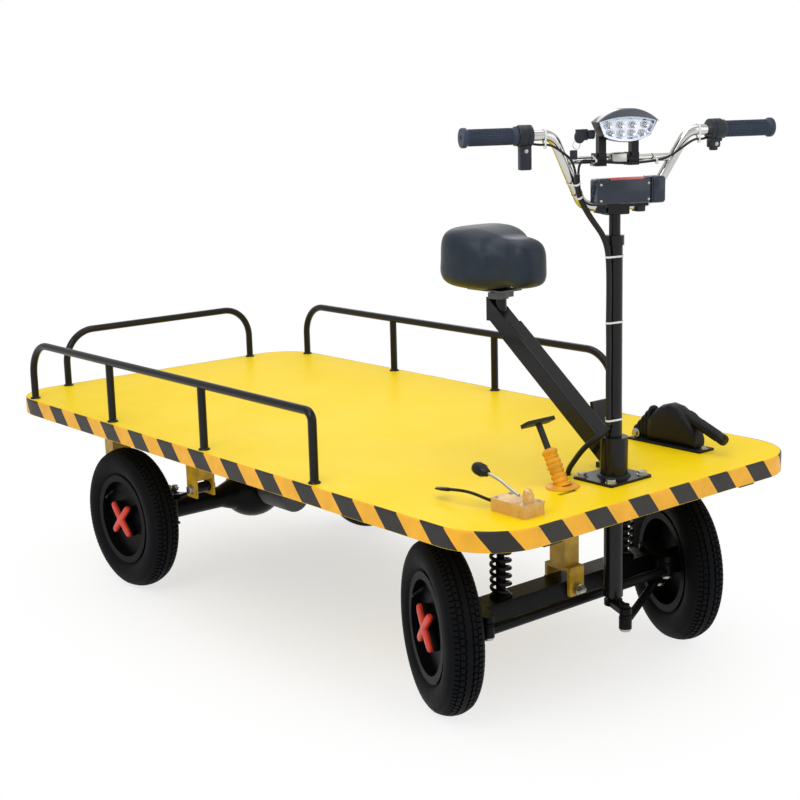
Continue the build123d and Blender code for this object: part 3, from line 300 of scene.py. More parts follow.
def build_surfaces():
    """Makes every finish of the truck."""
    paint = bpy.context.scene.truck_paint
    black = paint.gloss_black
    surface("Deck paint", paint.deck_yellow, 0.40, spread=0.1, relief=(7.0, 0.0003), shade=0.95, patch=3.0, dust=0.01,
            specular=0.05)
    # Darker yellow of the parts under the deck: painted shade.
    surface("Bracket paint", paint.bracket_yellow_shaded, 0.36, coat=0.15, relief=(120.0, 0.00018), shade=0.55, patch=26.0,
            specular=0.3)
    surface("Tape", paint.tape_amber, 0.42, relief=(90.0, 0.00025), shade=0.85, patch=20.0, dust=0.05,
            specular=0.3, colour_source=stripe_colours)
    surface("Rail paint", black, 0.22, coat=0.08, relief=(260.0, 0.00004), dust=0.0, specular=0.2)
    surface("Column paint", black, 0.22, coat=0.12, relief=(220.0, 0.00005), dust=0.0, specular=0.2)
    surface("Frame paint", (0.005, 0.005, 0.006), 0.4, relief=(160.0, 0.00014), dust=0.02, specular=0.1)
    surface("Axle paint", (0.0035, 0.004, 0.0045), 0.3, relief=(110.0, 0.00022), dust=0.005, specular=0.09)
    surface("Spring paint", (0.004, 0.004, 0.005), 0.26, relief=(200.0, 0.00006), dust=0.01, specular=0.2)
    surface("Motor casting", (0.07, 0.07, 0.074), 0.55, metallic=0.3, relief=(340.0, 0.0003), dust=0.1)
    surface("Battery paint", (0.008, 0.008, 0.009), 0.55, relief=(180.0, 0.0001), dust=0.04, specular=0.12)
    surface("Chrome", (0.62, 0.62, 0.60), 0.14, metallic=1.0, spread=0.06, relief=(90.0, 0.00002), shade=0.85,
            dust=0.0)
    surface("Zinc", (0.50, 0.49, 0.46), 0.34, metallic=1.0, spread=0.2, relief=(320.0, 0.00006), shade=0.7,
            dust=0.05)
    surface("Yellow zinc", (0.72, 0.46, 0.17), 0.36, metallic=0.55, spread=0.16, relief=(240.0, 0.00008), shade=0.85,
            patch=45.0, dust=0.02)
    surface("Grip rubber", (0.026, 0.040, 0.068), 0.5, relief=(420.0, 0.00008), dust=0.02, specular=0.3)
    surface("Switch plastic", (0.012, 0.016, 0.024), 0.42, relief=(600.0, 0.00005), dust=0.02, specular=0.3)
    surface("Display plastic", (0.014, 0.021, 0.036), 0.22, coat=0.15, relief=(380.0, 0.00003), dust=0.01,
            specular=0.35)
    surface("Lamp plastic", (0.005, 0.006, 0.008), 0.35, relief=(420.0, 0.00005), dust=0.01, specular=0.25)
    surface("Lamp visor", (0.045, 0.055, 0.075), 0.12, coat=0.5, relief=(60.0, 0.00003), dust=0.0)
    surface("Reflector", (0.80, 0.81, 0.84), 0.16, metallic=1.0, relief=(150.0, 0.00003), shade=0.9, dust=0.0)
    surface("Lamp diode", (0.85, 0.86, 0.78), 0.3, relief=(100.0, 0.00001), dust=0.0)
    surface("Red plastic", (0.55, 0.06, 0.06), 0.25, coat=0.4, relief=(300.0, 0.00003), dust=0.01)
    surface("Knob plastic", (0.005, 0.005, 0.005), 0.3, relief=(300.0, 0.00005), dust=0.0, specular=0.25)
    surface("Pedal rubber", (0.010, 0.010, 0.011), 0.5, relief=(300.0, 0.0002), dust=0.08, specular=0.3)
    surface("Sleeve rubber", (0.80, 0.36, 0.012), 0.42, relief=(150.0, 0.0002), shade=0.7, patch=40.0, dust=0.03,
            specular=0.3)
    surface("Boot rubber", (0.006, 0.006, 0.007), 0.42, relief=(240.0, 0.0003), dust=0.02, specular=0.2)
    surface("Cable rubber", (0.006, 0.006, 0.007), 0.4, relief=(500.0, 0.00006), dust=0.02, specular=0.3)
    surface("Tie nylon", (0.72, 0.72, 0.70), 0.45, relief=(500.0, 0.00004), dust=0.03)
    surface("Tyre rubber", (0.0042, 0.0046, 0.0056), 0.6, relief=(300.0, 0.00018), dust=0.004, specular=0.06)
    surface("Rim paint", (0.003, 0.003, 0.004), 0.42, relief=(150.0, 0.00009), dust=0.004, specular=0.05)
    surface("Hub paint", paint.hub_red, 0.4, coat=0.12, relief=(140.0, 0.00012), shade=0.7, patch=40.0, dust=0.03,
            specular=0.3)
    surface("Dark steel", (0.10, 0.10, 0.10), 0.4, metallic=0.8, relief=(200.0, 0.0001), dust=0.02)
    surface("Weld", (0.006, 0.006, 0.007), 0.4, relief=(260.0, 0.0006), dust=0.01, specular=0.2)
    vinyl = surface("Seat vinyl", paint.seat_black, 0.40, relief=(300.0, 0.0001), dust=0.0, specular=0.3)
    tree = vinyl.node_tree
    grain = placed_group(tree, "Grain", scale=620.0, height=0.00035)
    tree.links.new(grain.outputs["Normal"], tree.nodes["Principled BSDF"].inputs["Normal"])
    glass = surface("Lens", (0.93, 0.95, 0.98), 0.04, relief=(40.0, 0.00002), dust=0.0, shade=0.98)
    shader = glass.node_tree.nodes["Principled BSDF"]
    shader.inputs["Transmission Weight"].default_value = 1.0
    shader.inputs["IOR"].default_value = 1.2


node_surfaces = {
    "Deck paint": ("deck",),
    "Frame paint": ("frame_beams", "cross_members"),
    "Battery paint": ("battery_box",),
    "Rail paint": ("rail_right", "rail_left", "rail_rear"),
    "Column paint": ("column_base", "steering_column", "stem", "seat_post", "seat_stem"),
    "Axle paint": ("pitman_arm", "front_axle", "knuckle_left", "knuckle_right", "tie_rod", "drag_link", "rear_axle"),
    "Bracket paint": ("pivot_fork", "spring_hangers"),
    "Motor casting": ("drive_motor",),
    "Spring paint": ("leaf_springs", "axle_clamps"),
    "Chrome": ("handlebar",),
    "Zinc": ("steel_bolts",),
    "Dark steel": ("seat_clamp",),
    "Yellow zinc": ("lever_box",),
    "Switch plastic": ("bar_housings", "key_switch"),
    "Lamp plastic": ("headlamp",),
    "Display plastic": ("display_box",),
    "Pedal rubber": ("pedals",),
    "Knob plastic": ("lever_knobs", "lever_rods"),
    "Boot rubber": ("hand_brake", "hand_brake_boot"),
    "Grip rubber": ("grips",),
    "Sleeve rubber": ("pedal_sleeve",),
    "Rim paint": tuple(f"rim_{corner}" for corner in wheel_corners),
    "Hub paint": tuple(f"spider_{corner}" for corner in wheel_corners),
    "Tyre rubber": tuple(f"tyre_{corner}" for corner in wheel_corners),
    "Seat vinyl": ("seat_cushion",),
    "Lens": ("headlamp_lens",),
    "Cable rubber": ("cable_right", "cable_left", "loom", "loom_tail"),
}


# Mesh helpers
def at(x, y, z):
    """A move."""
    return Matrix.Translation((x, y, z))


def turned(degrees, axis):
    """A turn about X, Y or Z."""
    return Matrix.Rotation(radians(degrees), 4, axis)


def circle(count):
    """Evenly spread angles of a full turn."""
    return [tau * step / count for step in range(count)]


def middle(low, high, axis):
    """Middle of a box along one axis."""
    return (low[axis] + high[axis]) / 2


def squared(value, power):
    """A sine or cosine that gives a squarer ring the nearer its power is to zero."""
    return copysign(abs(value) ** power, value)


def hosted(name, data):
    """A new object in the scene."""
    host = bpy.data.objects.new(name, data)
    bpy.context.scene.collection.objects.link(host)
    return host


def modify(host, kind, **settings):
    """Gives an object a modifier with its settings."""
    modifier = host.modifiers.new(kind, kind)
    for key, value in settings.items():
        setattr(modifier, key, value)
    return modifier


def evaluated(host, **options):
    """The mesh that an object's modifiers give; the object is removed."""
    depsgraph = bpy.context.evaluated_depsgraph_get()
    mesh = bpy.data.meshes.new_from_object(host.evaluated_get(depsgraph), depsgraph=depsgraph, **options)
    bpy.data.objects.remove(host)
    return mesh


def add_piece(name, mesh, finish, body, replaced=(), matrix=None, sharp=35):
    """Puts a mesh in the scene as a piece of the truck, with its place in its vertices."""
    if matrix is not None:
        mesh.transform(matrix)
    mesh.name = name
    mesh.materials.clear()
    mesh.materials.append(surfaces[finish])
    mesh.shade_smooth()
    mesh.set_sharp_from_angle(angle=radians(sharp))
    piece = hosted(name, mesh)
    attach(piece, body)
    if replaced:
        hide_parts(*replaced)
    return piece


def add_chassis_piece(name, mesh, finish, replaced=(), sharp=35):
    """A piece that stays with the deck."""
    return add_piece(name, mesh, finish, "chassis", replaced, sharp=sharp)


def add_bar_piece(name, mesh, finish, replaced=(), sharp=35):
    """A piece that turns with the handlebar, drawn in the bar's own frame."""
    return add_piece(name, mesh, finish, "steering", replaced, bar_frame, sharp)


def mesh_of(shape):
    """Turns a bmesh into a mesh with its faces outwards."""
    bmesh.ops.remove_doubles(shape, verts=shape.verts, dist=1e-6)
    bmesh.ops.recalc_face_normals(shape, faces=shape.faces)
    mesh = bpy.data.meshes.new("shape")
    shape.to_mesh(mesh)
    shape.free()
    return mesh


def join_meshes(meshes):
    """One mesh from several."""
    shape = bmesh.new()
    for mesh in meshes:
        shape.from_mesh(mesh)
    joined = bpy.data.meshes.new("joined")
    shape.to_mesh(joined)
    shape.free()
    return joined


def moved(mesh, matrix):
    """A copy of a mesh, moved."""
    copy = mesh.copy()
    copy.transform(matrix)
    return copy


def bridge(shape, low, high):
    """Faces between two rings with as many points."""
    for step in range(len(low)):
        after = (step + 1) % len(low)
        shape.faces.new((low[step], low[after], high[after], high[step]))


def turned_mesh(profile, steps, closed=False):
    """A surface of revolution about Z from (radius, z) points."""
    shape = bmesh.new()
    rings = []
    for radius, z in profile:
        if radius < 1e-6:
            rings.append([shape.verts.new((0, 0, z))])
        else:
            rings.append([shape.verts.new((radius * cos(a), radius * sin(a), z)) for a in circle(steps)])
    pairs = list(zip(rings, rings[1:]))
    if closed:
        pairs.append((rings[-1], rings[0]))
    for low, high in pairs:
        if len(low) == len(high):
            bridge(shape, low, high)
            continue
        for step in range(steps):
            after = (step + 1) % steps
            if len(low) == 1:
                shape.faces.new((low[0], high[step], high[after]))
            else:
                shape.faces.new((low[step], low[after], high[0]))
    return mesh_of(shape)


def lofted(rings):
    """A skin through rings of points, closed at both ends."""
    shape = bmesh.new()
    loops = [[shape.verts.new(point) for point in ring] for ring in rings]
    for low, high in zip(loops, loops[1:]):
        bridge(shape, low, high)
    shape.faces.new(loops[0][::-1])
    shape.faces.new(loops[-1])
    return mesh_of(shape)


def block_mesh(size, bevel, centre=(0, 0, 0), segments=2):
    """A box with rounded edges."""
    shape = bmesh.new()
    bmesh.ops.create_cube(shape, size=1.0)
    bmesh.ops.scale(shape, vec=size, verts=shape.verts)
    bmesh.ops.translate(shape, vec=centre, verts=shape.verts)
    bmesh.ops.bevel(shape, geom=shape.edges[:], offset=bevel, segments=segments, affect="EDGES", profile=0.5)
    return mesh_of(shape)


def round_curve(name, points, radius, steps, resolution):
    """A round rod through points, on a smooth NURBS line, with its ends closed."""
    curve = bpy.data.curves.new(name, "CURVE")
    curve.dimensions = "3D"
    curve.bevel_depth = radius
    curve.bevel_resolution = resolution
    curve.resolution_u = steps
    curve.use_fill_caps = True
    spline = curve.splines.new("NURBS")
    spline.points.add(len(points) - 1)
    for control, point in zip(spline.points, points):
        control.co = (*point, 1)
    spline.order_u = 3
    spline.use_endpoint_u = True
    return curve


def tube_mesh(points, radius, steps):
    """A round rod as a mesh."""
    host = hosted("rod", round_curve("rod", points, radius, steps, 2))
    mesh = bpy.data.meshes.new_from_object(host)
    bpy.data.objects.remove(host)
    return mesh


# Geometry Nodes trees
def geometry_tree(name, inputs):
    """A new Geometry Nodes tree with named inputs."""
    tree = bpy.data.node_groups.new(name, "GeometryNodeTree")
    tree.interface.new_socket("Geometry", in_out="INPUT", socket_type="NodeSocketGeometry")
    for label, kind in inputs:
        tree.interface.new_socket(label, in_out="INPUT", socket_type="NodeSocket" + kind)
    tree.interface.new_socket("Geometry", in_out="OUTPUT", socket_type="NodeSocketGeometry")
    return tree, tree.nodes.new("NodeGroupInput"), tree.nodes.new("NodeGroupOutput")


def close_tree(tree, start, end, instances):
    """Ends a tree in real geometry with its material."""
    real = add_node(tree, "GeometryNodeRealizeInstances", {"Geometry": instances})
    done = add_node(tree, "GeometryNodeSetMaterial", {
        "Geometry": real.outputs["Geometry"], "Material": start.outputs["Material"]})
    tree.links.new(done.outputs["Geometry"], end.inputs["Geometry"])


def ring_tree():
    """Copies of a shape, turned evenly about the X axis."""
    tree, start, end = geometry_tree("Ring of copies", (("Count", "Int"), ("Material", "Material")))
    points = add_node(tree, "GeometryNodeMeshLine", {"Count": start.outputs["Count"], "Offset": (0, 0, 0)})
    index = add_node(tree, "GeometryNodeInputIndex").outputs[0]
    share = calculated(tree, "DIVIDE", index, start.outputs["Count"])
    angle = calculated(tree, "MULTIPLY", share, tau)
    euler = add_node(tree, "ShaderNodeCombineXYZ", {"X": angle}).outputs[0]
    turn = add_node(tree, "FunctionNodeEulerToRotation", {"Euler": euler}).outputs[0]
    copies = add_node(tree, "GeometryNodeInstanceOnPoints", {
        "Points": points.outputs["Mesh"], "Instance": start.outputs["Geometry"], "Rotation": turn})
    close_tree(tree, start, end, copies.outputs["Instances"])
    return tree


def row_tree():
    """Copies of a shape at even steps."""
    tree, start, end = geometry_tree("Row of copies", (
        ("Count", "Int"), ("Step", "Vector"), ("Material", "Material")))
    points = add_node(tree, "GeometryNodeMeshLine", {
        "Count": start.outputs["Count"], "Offset": start.outputs["Step"]})
    copies = add_node(tree, "GeometryNodeInstanceOnPoints", {
        "Points": points.outputs["Mesh"], "Instance": start.outputs["Geometry"]})
    close_tree(tree, start, end, copies.outputs["Instances"])
    return tree


def scatter_tree():
    """Copies of one object at the points of a mesh."""
    tree, start, end = geometry_tree("Copies at points", (("Shape", "Object"), ("Material", "Material")))
    shape = add_node(tree, "GeometryNodeObjectInfo", {"Object": start.outputs["Shape"]})
    copies = add_node(tree, "GeometryNodeInstanceOnPoints", {
        "Points": start.outputs["Geometry"], "Instance": shape.outputs["Geometry"]})
    close_tree(tree, start, end, copies.outputs["Instances"])
    return tree


def coil_tree():
    """A helix of round wire about the Z axis."""
    tree, start, end = geometry_tree("Coil", (
        ("Turns", "Float"), ("Radius", "Float"), ("Rise", "Float"), ("Wire", "Float"), ("Material", "Material")))
    line = add_node(tree, "GeometryNodeCurveSpiral", {
        "Resolution": 24, "Rotations": start.outputs["Turns"], "Start Radius": start.outputs["Radius"],
        "End Radius": start.outputs["Radius"], "Height": start.outputs["Rise"]})
    section = add_node(tree, "GeometryNodeCurvePrimitiveCircle", {"Resolution": 12, "Radius": start.outputs["Wire"]})
    wire = add_node(tree, "GeometryNodeCurveToMesh", {
        "Curve": line.outputs["Curve"], "Profile Curve": section.outputs["Curve"], "Fill Caps": True})
    close_tree(tree, start, end, wire.outputs["Mesh"])
    return tree


trees = {}


def grown(tree_name, mesh, finish, **values):
    """Runs a tree on a mesh and gives the result as a plain mesh."""
    values["material"] = surfaces[finish]
    host = hosted("host", mesh)
    modifier = modify(host, "NODES", node_group=trees[tree_name])
    for item in trees[tree_name].interface.items_tree:
        key = item.name.lower()
        if item.in_out == "INPUT" and key in values:
            modifier[item.identifier] = values[key]
    return evaluated(host, preserve_all_data_layers=True)


def copies_at(mesh, points, finish):
    """Copies of a mesh at points, made by the tree for it."""
    shape = bpy.data.objects.new("shape", mesh)
    places = bpy.data.meshes.new("places")
    places.from_pydata([tuple(point) for point in points], [], [])
    result = grown("Copies at points", places, finish, shape=shape)
    bpy.data.objects.remove(shape)
    return result


def hex_bolt(radius, height, washer):
    """A bolt head that stands on z = 0, with a washer of a radius of its own."""
    sheet = height * 0.25
    ring = turned_mesh([(0, 0), (washer, 0), (washer, sheet * 0.8), (washer - sheet * 0.3, sheet), (0, sheet)], 28)
    shape = bmesh.new()
    bmesh.ops.create_cone(shape, cap_ends=True, segments=6, radius1=radius, radius2=radius, depth=height)
    bmesh.ops.translate(shape, vec=(0, 0, sheet + height / 2), verts=shape.verts)
    top = [edge for edge in shape.edges if all(vert.co.z > sheet + height * 0.9 for vert in edge.verts)]
    bmesh.ops.bevel(shape, geom=top, offset=height * 0.14, segments=2, affect="EDGES", profile=0.6)
    return join_meshes((ring, mesh_of(shape)))


# Wheels
def wheel_matrix(corner):
    """From a wheel's own frame, with X along its axle outwards, to its place on the truck."""
    joint = joints[f"axle_{corner}"]
    side = 1 if corner.endswith("left") else -1
    outward = Vector(joint["axis"]).normalized() * side
    across = Vector((0, 0, 1)).cross(outward)
    place = Matrix((outward, across, (0, 0, 1))).transposed().to_4x4()
    return Matrix.Translation(joint["pos_m"]) @ place


tread_radius, tread_half, tread_fall = 0.190, 0.030, 0.009
wall_half, wall_radius, bead_half, bead_top, bead_bottom = 0.0421, 0.1533, 0.0297, 0.1223, 0.1083
axis_along_x = turned(90, "Y")


def tread_height(across):
    """Radius of the tread's surface at a distance from the tyre's middle."""
    return tread_radius - tread_fall * (across / tread_half) ** 2


def arc_points(first, middle, last, steps):
    """Points on a circle's arc through three points of a plane."""
    (ax, ay), (bx, by), (cx, cy) = first, middle, last
    det = 2 * (ax * (by - cy) + bx * (cy - ay) + cx * (ay - by))
    a2, b2, c2 = ax * ax + ay * ay, bx * bx + by * by, cx * cx + cy * cy
    ux = (a2 * (by - cy) + b2 * (cy - ay) + c2 * (ay - by)) / det
    uy = (a2 * (cx - bx) + b2 * (ax - cx) + c2 * (bx - ax)) / det
    start, via, end = (atan2(y - uy, x - ux) for x, y in (first, middle, last))
    while via < start:
        via += tau
    while end < start:
        end += tau
    if via > end:
        end -= tau
    radius = hypot(ax - ux, ay - uy)
    turns = (start + (end - start) * step / steps for step in range(steps + 1))
    return [(ux + radius * cos(a), uy + radius * sin(a)) for a in turns]


def carcass_mesh(groove):
    """The tyre without its blocks: walls, beads, and the floor of the tread's grooves."""
    wall = arc_points((bead_half, bead_top), (wall_half, wall_radius), (tread_half, tread_height(tread_half)), 14)
    bead_radius, bead_height, bead_width = 0.132, 0.0012, 0.0018
    line_radius, line_depth, line_width = 0.164, 0.0008, 0.001
    raised = []
    for across, radius in wall:
        ring = bead_height * exp(-((radius - bead_radius) / bead_width) ** 2)
        ring -= line_depth * exp(-((radius - line_radius) / line_width) ** 2)
        raised.append((min(across + ring, wall_half), radius))
    floor = [(across / 1000, tread_height(across / 1000) - groove) for across in (28, 20, 10, 0, -10, -20, -28)]
    mirror = [(-across, radius) for across, radius in reversed(raised)]
    outline = [(bead_half, bead_bottom)] + raised + floor + mirror + [(-bead_half, bead_bottom)]
    mesh = turned_mesh([(radius, across) for across, radius in outline], steps=144, closed=True)
    mesh.transform(axis_along_x)
    return mesh


def lug_mesh(section, length):
    """One block of the tread at the top of the wheel: a section across the tyre, drawn along it."""
    shape = bmesh.new()
    back, front = ([shape.verts.new((x, y, z)) for x, z in section] for y in (-length / 2, length / 2))
    shape.faces.new(back)
    shape.faces.new(front[::-1])
    for step in range(len(section)):
        after = (step + 1) % len(section)
        shape.faces.new((back[after], back[step], front[step], front[after]))
    bmesh.ops.recalc_face_normals(shape, faces=shape.faces)
    tops = [edge for edge in shape.edges if all(v.co.z > tread_radius - 0.0145 for v in edge.verts)]
    bmesh.ops.bevel(shape, geom=tops, offset=0.0006, segments=1, affect="EDGES")
    return mesh_of(shape)


def tread_ring(section, count, fill):
    """A ring of blocks round the tyre, each as long as fill of its share of the way round."""
    lug = lug_mesh(section, tau * tread_radius / count * fill)
    return grown("Ring of copies", lug, "Tyre rubber", count=count)


def rib_mesh(groove, count):
    """The zigzag rib round the tyre's middle."""
    half_width, swing = 0.0062, 0.0016
    shape = bmesh.new()
    loops = []
    for step, angle in enumerate(circle(2 * count)):
        shift = swing if step % 2 else -swing
        ring = []
        left, right = shift - half_width, shift + half_width
        for across, low in ((left, True), (left, False), (right, False), (right, True)):
            radius = tread_height(across) - (groove if low else 0)
            ring.append(shape.verts.new((across, -radius * sin(angle), radius * cos(angle))))
        loops.append(ring)
    for loop, following in zip(loops, loops[1:] + loops[:1]):
        bridge(shape, loop, following)
    return mesh_of(shape)


def cross_mesh(back, thick, narrow):
    """One layer of a wheel's cast cross, with soft edges, that starts at back on the wheel's axle."""
    # Distance from the axle, half width, share of the thickness
    table = ((-0.004, 0.0105, 1.0), (0.020, 0.0090, 1.0), (0.044, 0.0090, 0.95), (0.053, 0.0080, 0.85),
             (0.056, 0.0050, 0.7))
    parts = []
    for quarter in range(4):
        rings = [[(back + thick * share * (0.5 + 0.5 * squared(sin(a), 0.7)),
                   (half - narrow) * squared(cos(a), 0.7), along) for a in circle(24)]
                 for along, half, share in table]
        parts.append(moved(lofted(rings), turned(45 + 90 * quarter, "X")))
    host = hosted("cross", join_meshes(parts))
    modify(host, "REMESH", mode="VOXEL", voxel_size=0.0016)
    modify(host, "SMOOTH", iterations=12)
    return evaluated(host)


class TRUCK_OT_tyres(bpy.types.Operator):
    """Treaded tyres with valve stems and the crosses of the hubs"""
    bl_idname = "truck.tyres"
    bl_label = "Tyres"

    def execute(self, context):
        tyres = context.scene.truck_tyres
        floor = tyres.groove + 0.001
        blocks = []
        for near, far in ((0.0100, 0.0185), (-0.0185, -0.0100)):
            section = [(near, tread_height(near) - floor), (near, tread_height(near)), (far, tread_height(far)),
                       (far, tread_height(far) - floor)]
            blocks.append(tread_ring(section, tyres.block_count, 0.78))
        for side in (1, -1):
            section = [(0.0205, tread_height(0.0205) - floor), (0.0205, tread_height(0.0205)),
                       (0.029, tread_height(0.029)), (0.0335, 0.1775), (0.0385, 0.1700), (0.0370, 0.1690),
                       (0.0300, 0.1750)]
            section = [(side * across, radius) for across, radius in section]
            blocks.append(tread_ring(section, tyres.lug_count, 0.68))
        tyre = join_meshes([carcass_mesh(tyres.groove), rib_mesh(floor, tyres.block_count), *blocks])
        stem = turned_mesh([(0, 0), (0.004, 0), (0.004, 0.012), (0.0028, 0.014), (0.0028, 0.026), (0.0036, 0.027),
                            (0.0036, 0.034), (0.0028, 0.036), (0, 0.036)], 16)
        cross, block = cross_mesh(0.0300, 0.0145, 0.0), cross_mesh(0.0142, 0.0200, 0.0015)
        lean, stem_turn = at(0.012, 0, 0.098) @ turned(118, "Y"), Matrix.Rotation(0.9, 4, "X")
        for corner in wheel_corners:
            place = wheel_matrix(corner)
            body = f"wheel_{corner}"
            add_piece(f"treaded_tyre_{corner}", moved(tyre, place), "Tyre rubber", body,
                      (f"tyre_{corner}",), sharp=28)
            add_piece(f"valve_{corner}", moved(stem, place @ stem_turn @ lean), "Pedal rubber", body)
            add_piece(f"hub_cross_{corner}", moved(cross, place), "Hub paint", body,
                      (f"spider_{corner}",), sharp=60)
            add_piece(f"hub_block_{corner}", moved(block, place), "Rim paint", body, sharp=60)
        return {"FINISHED"}


# Tape
tape_corner = 0.138
tape_half = ((deck_high[0] - deck_low[0]) / 2, (deck_high[1] - deck_low[1]) / 2)
tape_middle_x = (deck_high[0] + deck_low[0]) / 2
tape_straight = tuple(2 * (half - tape_corner) for half in tape_half)


def edge_point(number, share):
    """A point on one of the edge's eight runs, four straights each before its corner, and the way out of the deck."""
    quarter, on_bend = divmod(number, 2)
    turn = -pi / 2 + quarter * pi / 2
    signs = ((1, -1), (1, 1), (-1, 1), (-1, -1))[quarter]
    centre = Vector((tape_middle_x + signs[0] * (tape_half[0] - tape_corner),
                     signs[1] * (tape_half[1] - tape_corner), 0))
    if on_bend:
        angle = turn + share * pi / 2
        out = Vector((cos(angle), sin(angle), 0))
        return centre + out * tape_corner, out
    out = Vector((cos(turn), sin(turn), 0))
    along = Vector((-out.y, out.x, 0))
    return centre + out * tape_corner - along * tape_straight[quarter % 2] * (1 - share), out


def tape_path(tape):
    """Steps round the deck as (run, share of it, pairs of stripes so far), and the pairs in the whole way round."""
    step, black_start_x = 0.008, 0.804
    first_black = black_start_x + (tape_half[0] - tape_corner)
    bend = (tape_corner * pi / 2, tape.bend_pitch)
    # Length and stripe pitch of each run, from the rear of the right side round the front
    runs = ((tape_straight[0], tape.side_pitch), bend, (tape_straight[1], tape.end_pitch), bend) * 2
    path = []
    count = -first_black / tape.side_pitch
    for number, (length, pitch) in enumerate(runs):
        pieces = max(2, round(length / step))
        for piece in range(pieces):
            share = piece / pieces
            path.append((number, share, count + share * length / pitch))
        count += length / pitch
    return path, count


def stitch(shape, uv, rows, count):
    """Faces between rows of (points, heights, stripes), with a UV map of stripes and heights."""
    for here, after in zip(rows, rows[1:] + rows[:1]):
        last = count if after is rows[0] else after[2]
        for level in range(len(here[0]) - 1):
            face = shape.faces.new((here[0][level], after[0][level], after[0][level + 1], here[0][level + 1]))
            marks = ((here[2], here[1][level]), (last, after[1][level]), (last, after[1][level + 1]),
                     (here[2], here[1][level + 1]))
            for loop, mark in zip(face.loops, marks):
                loop[uv].uv = mark


class TRUCK_OT_tape(bpy.types.Operator):
    """Hazard tape round the deck's edge"""
    bl_idname = "truck.tape"
    bl_label = "Hazard tape"

    def execute(self, context):
        tape = context.scene.truck_tape
        edge_round = 0.003
        wrinkle_reach, wrinkle_height = 0.11, 0.0016
        low_z = deck_low[2] + 0.0008
        flat = deck_top - edge_round
        section = [(0.0, low_z), (1.0, low_z + 0.0002)]
        section += [(1.0, low_z + (flat - low_z) * share / 6) for share in range(1, 7)]
        wrinkled = Vector((tape_middle_x + tape_half[0] - 0.03, -tape_half[1] + 0.03, 0))
        shape = bmesh.new()
        uv = shape.loops.layers.uv.new("Tape")
        rows = []
        path, count = tape_path(tape)
        for number, share, stripes in path:
            foot, out = edge_point(number, share)
            near_corner = exp(-((foot - wrinkled).length / wrinkle_reach) ** 2)
            row = []
            for reach, z in section:
                crease = noise.noise(Vector((foot.x * 46, foot.y * 46, z * 70)))
                calm = noise.noise(Vector((foot.x * 9, foot.y * 9, z * 12)))
                off = reach * (tape.thickness + 0.00025 * (1 + calm) + near_corner * wrinkle_height * abs(crease))
                edge = 0.0008 * noise.noise(Vector((foot.x * 5, foot.y * 5, 3.0))) if z < low_z + 0.001 else 0
                row.append((foot + out * off + Vector((0, 0, z + edge)), (z - low_z)))
            for lift in range(1, 4):
                angle = lift * radians(24)
                reach = edge_round + tape.thickness
                point = foot - out * edge_round + out * reach * cos(angle)
                row.append((point + Vector((0, 0, flat + reach * sin(angle))), flat - low_z + edge_round * angle))
            points, heights = zip(*row)
            rows.append(([shape.verts.new(point) for point in points], heights, stripes))
        stitch(shape, uv, rows, count)
        mesh = bpy.data.meshes.new("tape")
        shape.to_mesh(mesh)
        shape.free()
        add_chassis_piece("hazard_tape", mesh, "Tape", sharp=60)
        return {"FINISHED"}


# Springs
class TRUCK_OT_springs(bpy.types.Operator):
    """Coil spring legs over the front axle"""
    bl_idname = "truck.springs"
    bl_label = "Coil springs"

    def execute(self, context):
        springs = context.scene.truck_springs
        low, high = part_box("spring_legs")
        radius = (high[0] - low[0]) / 2
        leg_y = high[1] - radius
        middle_x = middle(low, high, 0)
        bottom, top = low[2], high[2]
        seat = 0.010
        rise = top - bottom - 2 * seat - 2 * springs.wire
        coil = grown("Coil", bpy.data.meshes.new("start"), "Spring paint", turns=rise / springs.pitch,
                     radius=radius - springs.wire, rise=rise, wire=springs.wire)
        coil.transform(at(0, 0, bottom + seat + springs.wire))
        leg = turned_mesh([
            (0, bottom), (radius, bottom), (radius, bottom + 0.004), (radius * 0.72, bottom + seat),
            (0.011, bottom + seat + 0.004), (0.011, bottom + 0.085), (0.0085, bottom + 0.088), (0.0085, top - 0.060),
            (0.013, top - 0.056), (0.013, top - 0.018), (0.016, top - 0.016), (0.016, top - seat),
            (0, top - seat)], 32)
        cap = turned_mesh([
            (0, top - seat), (radius * 0.9, top - seat), (radius, top - seat + 0.002), (radius, top - 0.002),
            (radius * 0.92, top), (0, top)], 32)
        for side, tag in ((-1, "right"), (1, "left")):
            place = at(middle_x, side * leg_y, 0)
            add_chassis_piece(f"coil_{tag}", moved(coil, place), "Spring paint",
                              ("spring_legs",) if side < 0 else (), sharp=60)
            add_chassis_piece(f"spring_leg_{tag}", moved(leg, place), "Axle paint")
            add_chassis_piece(f"spring_cap_{tag}", moved(cap, place), "Zinc")
        return {"FINISHED"}


# Saddle
saddle_width = ((0.0, 0.088), (0.2, 0.104), (0.4, 0.104), (0.55, 0.092), (0.66, 0.072), (0.78, 0.060), (0.9, 0.057),
                (1.0, 0.052))
saddle_top = ((0.0, 0.135), (0.12, 0.142), (0.28, 0.144), (0.42, 0.141), (0.56, 0.132), (0.68, 0.121), (0.8, 0.1185),
              (0.9, 0.118), (1.0, 0.111))
saddle_bottom = ((0.0, 0.010), (0.2, 0.002), (0.45, 0.001), (0.62, 0.006), (0.76, 0.013), (0.88, 0.006), (1.0, 0.004))


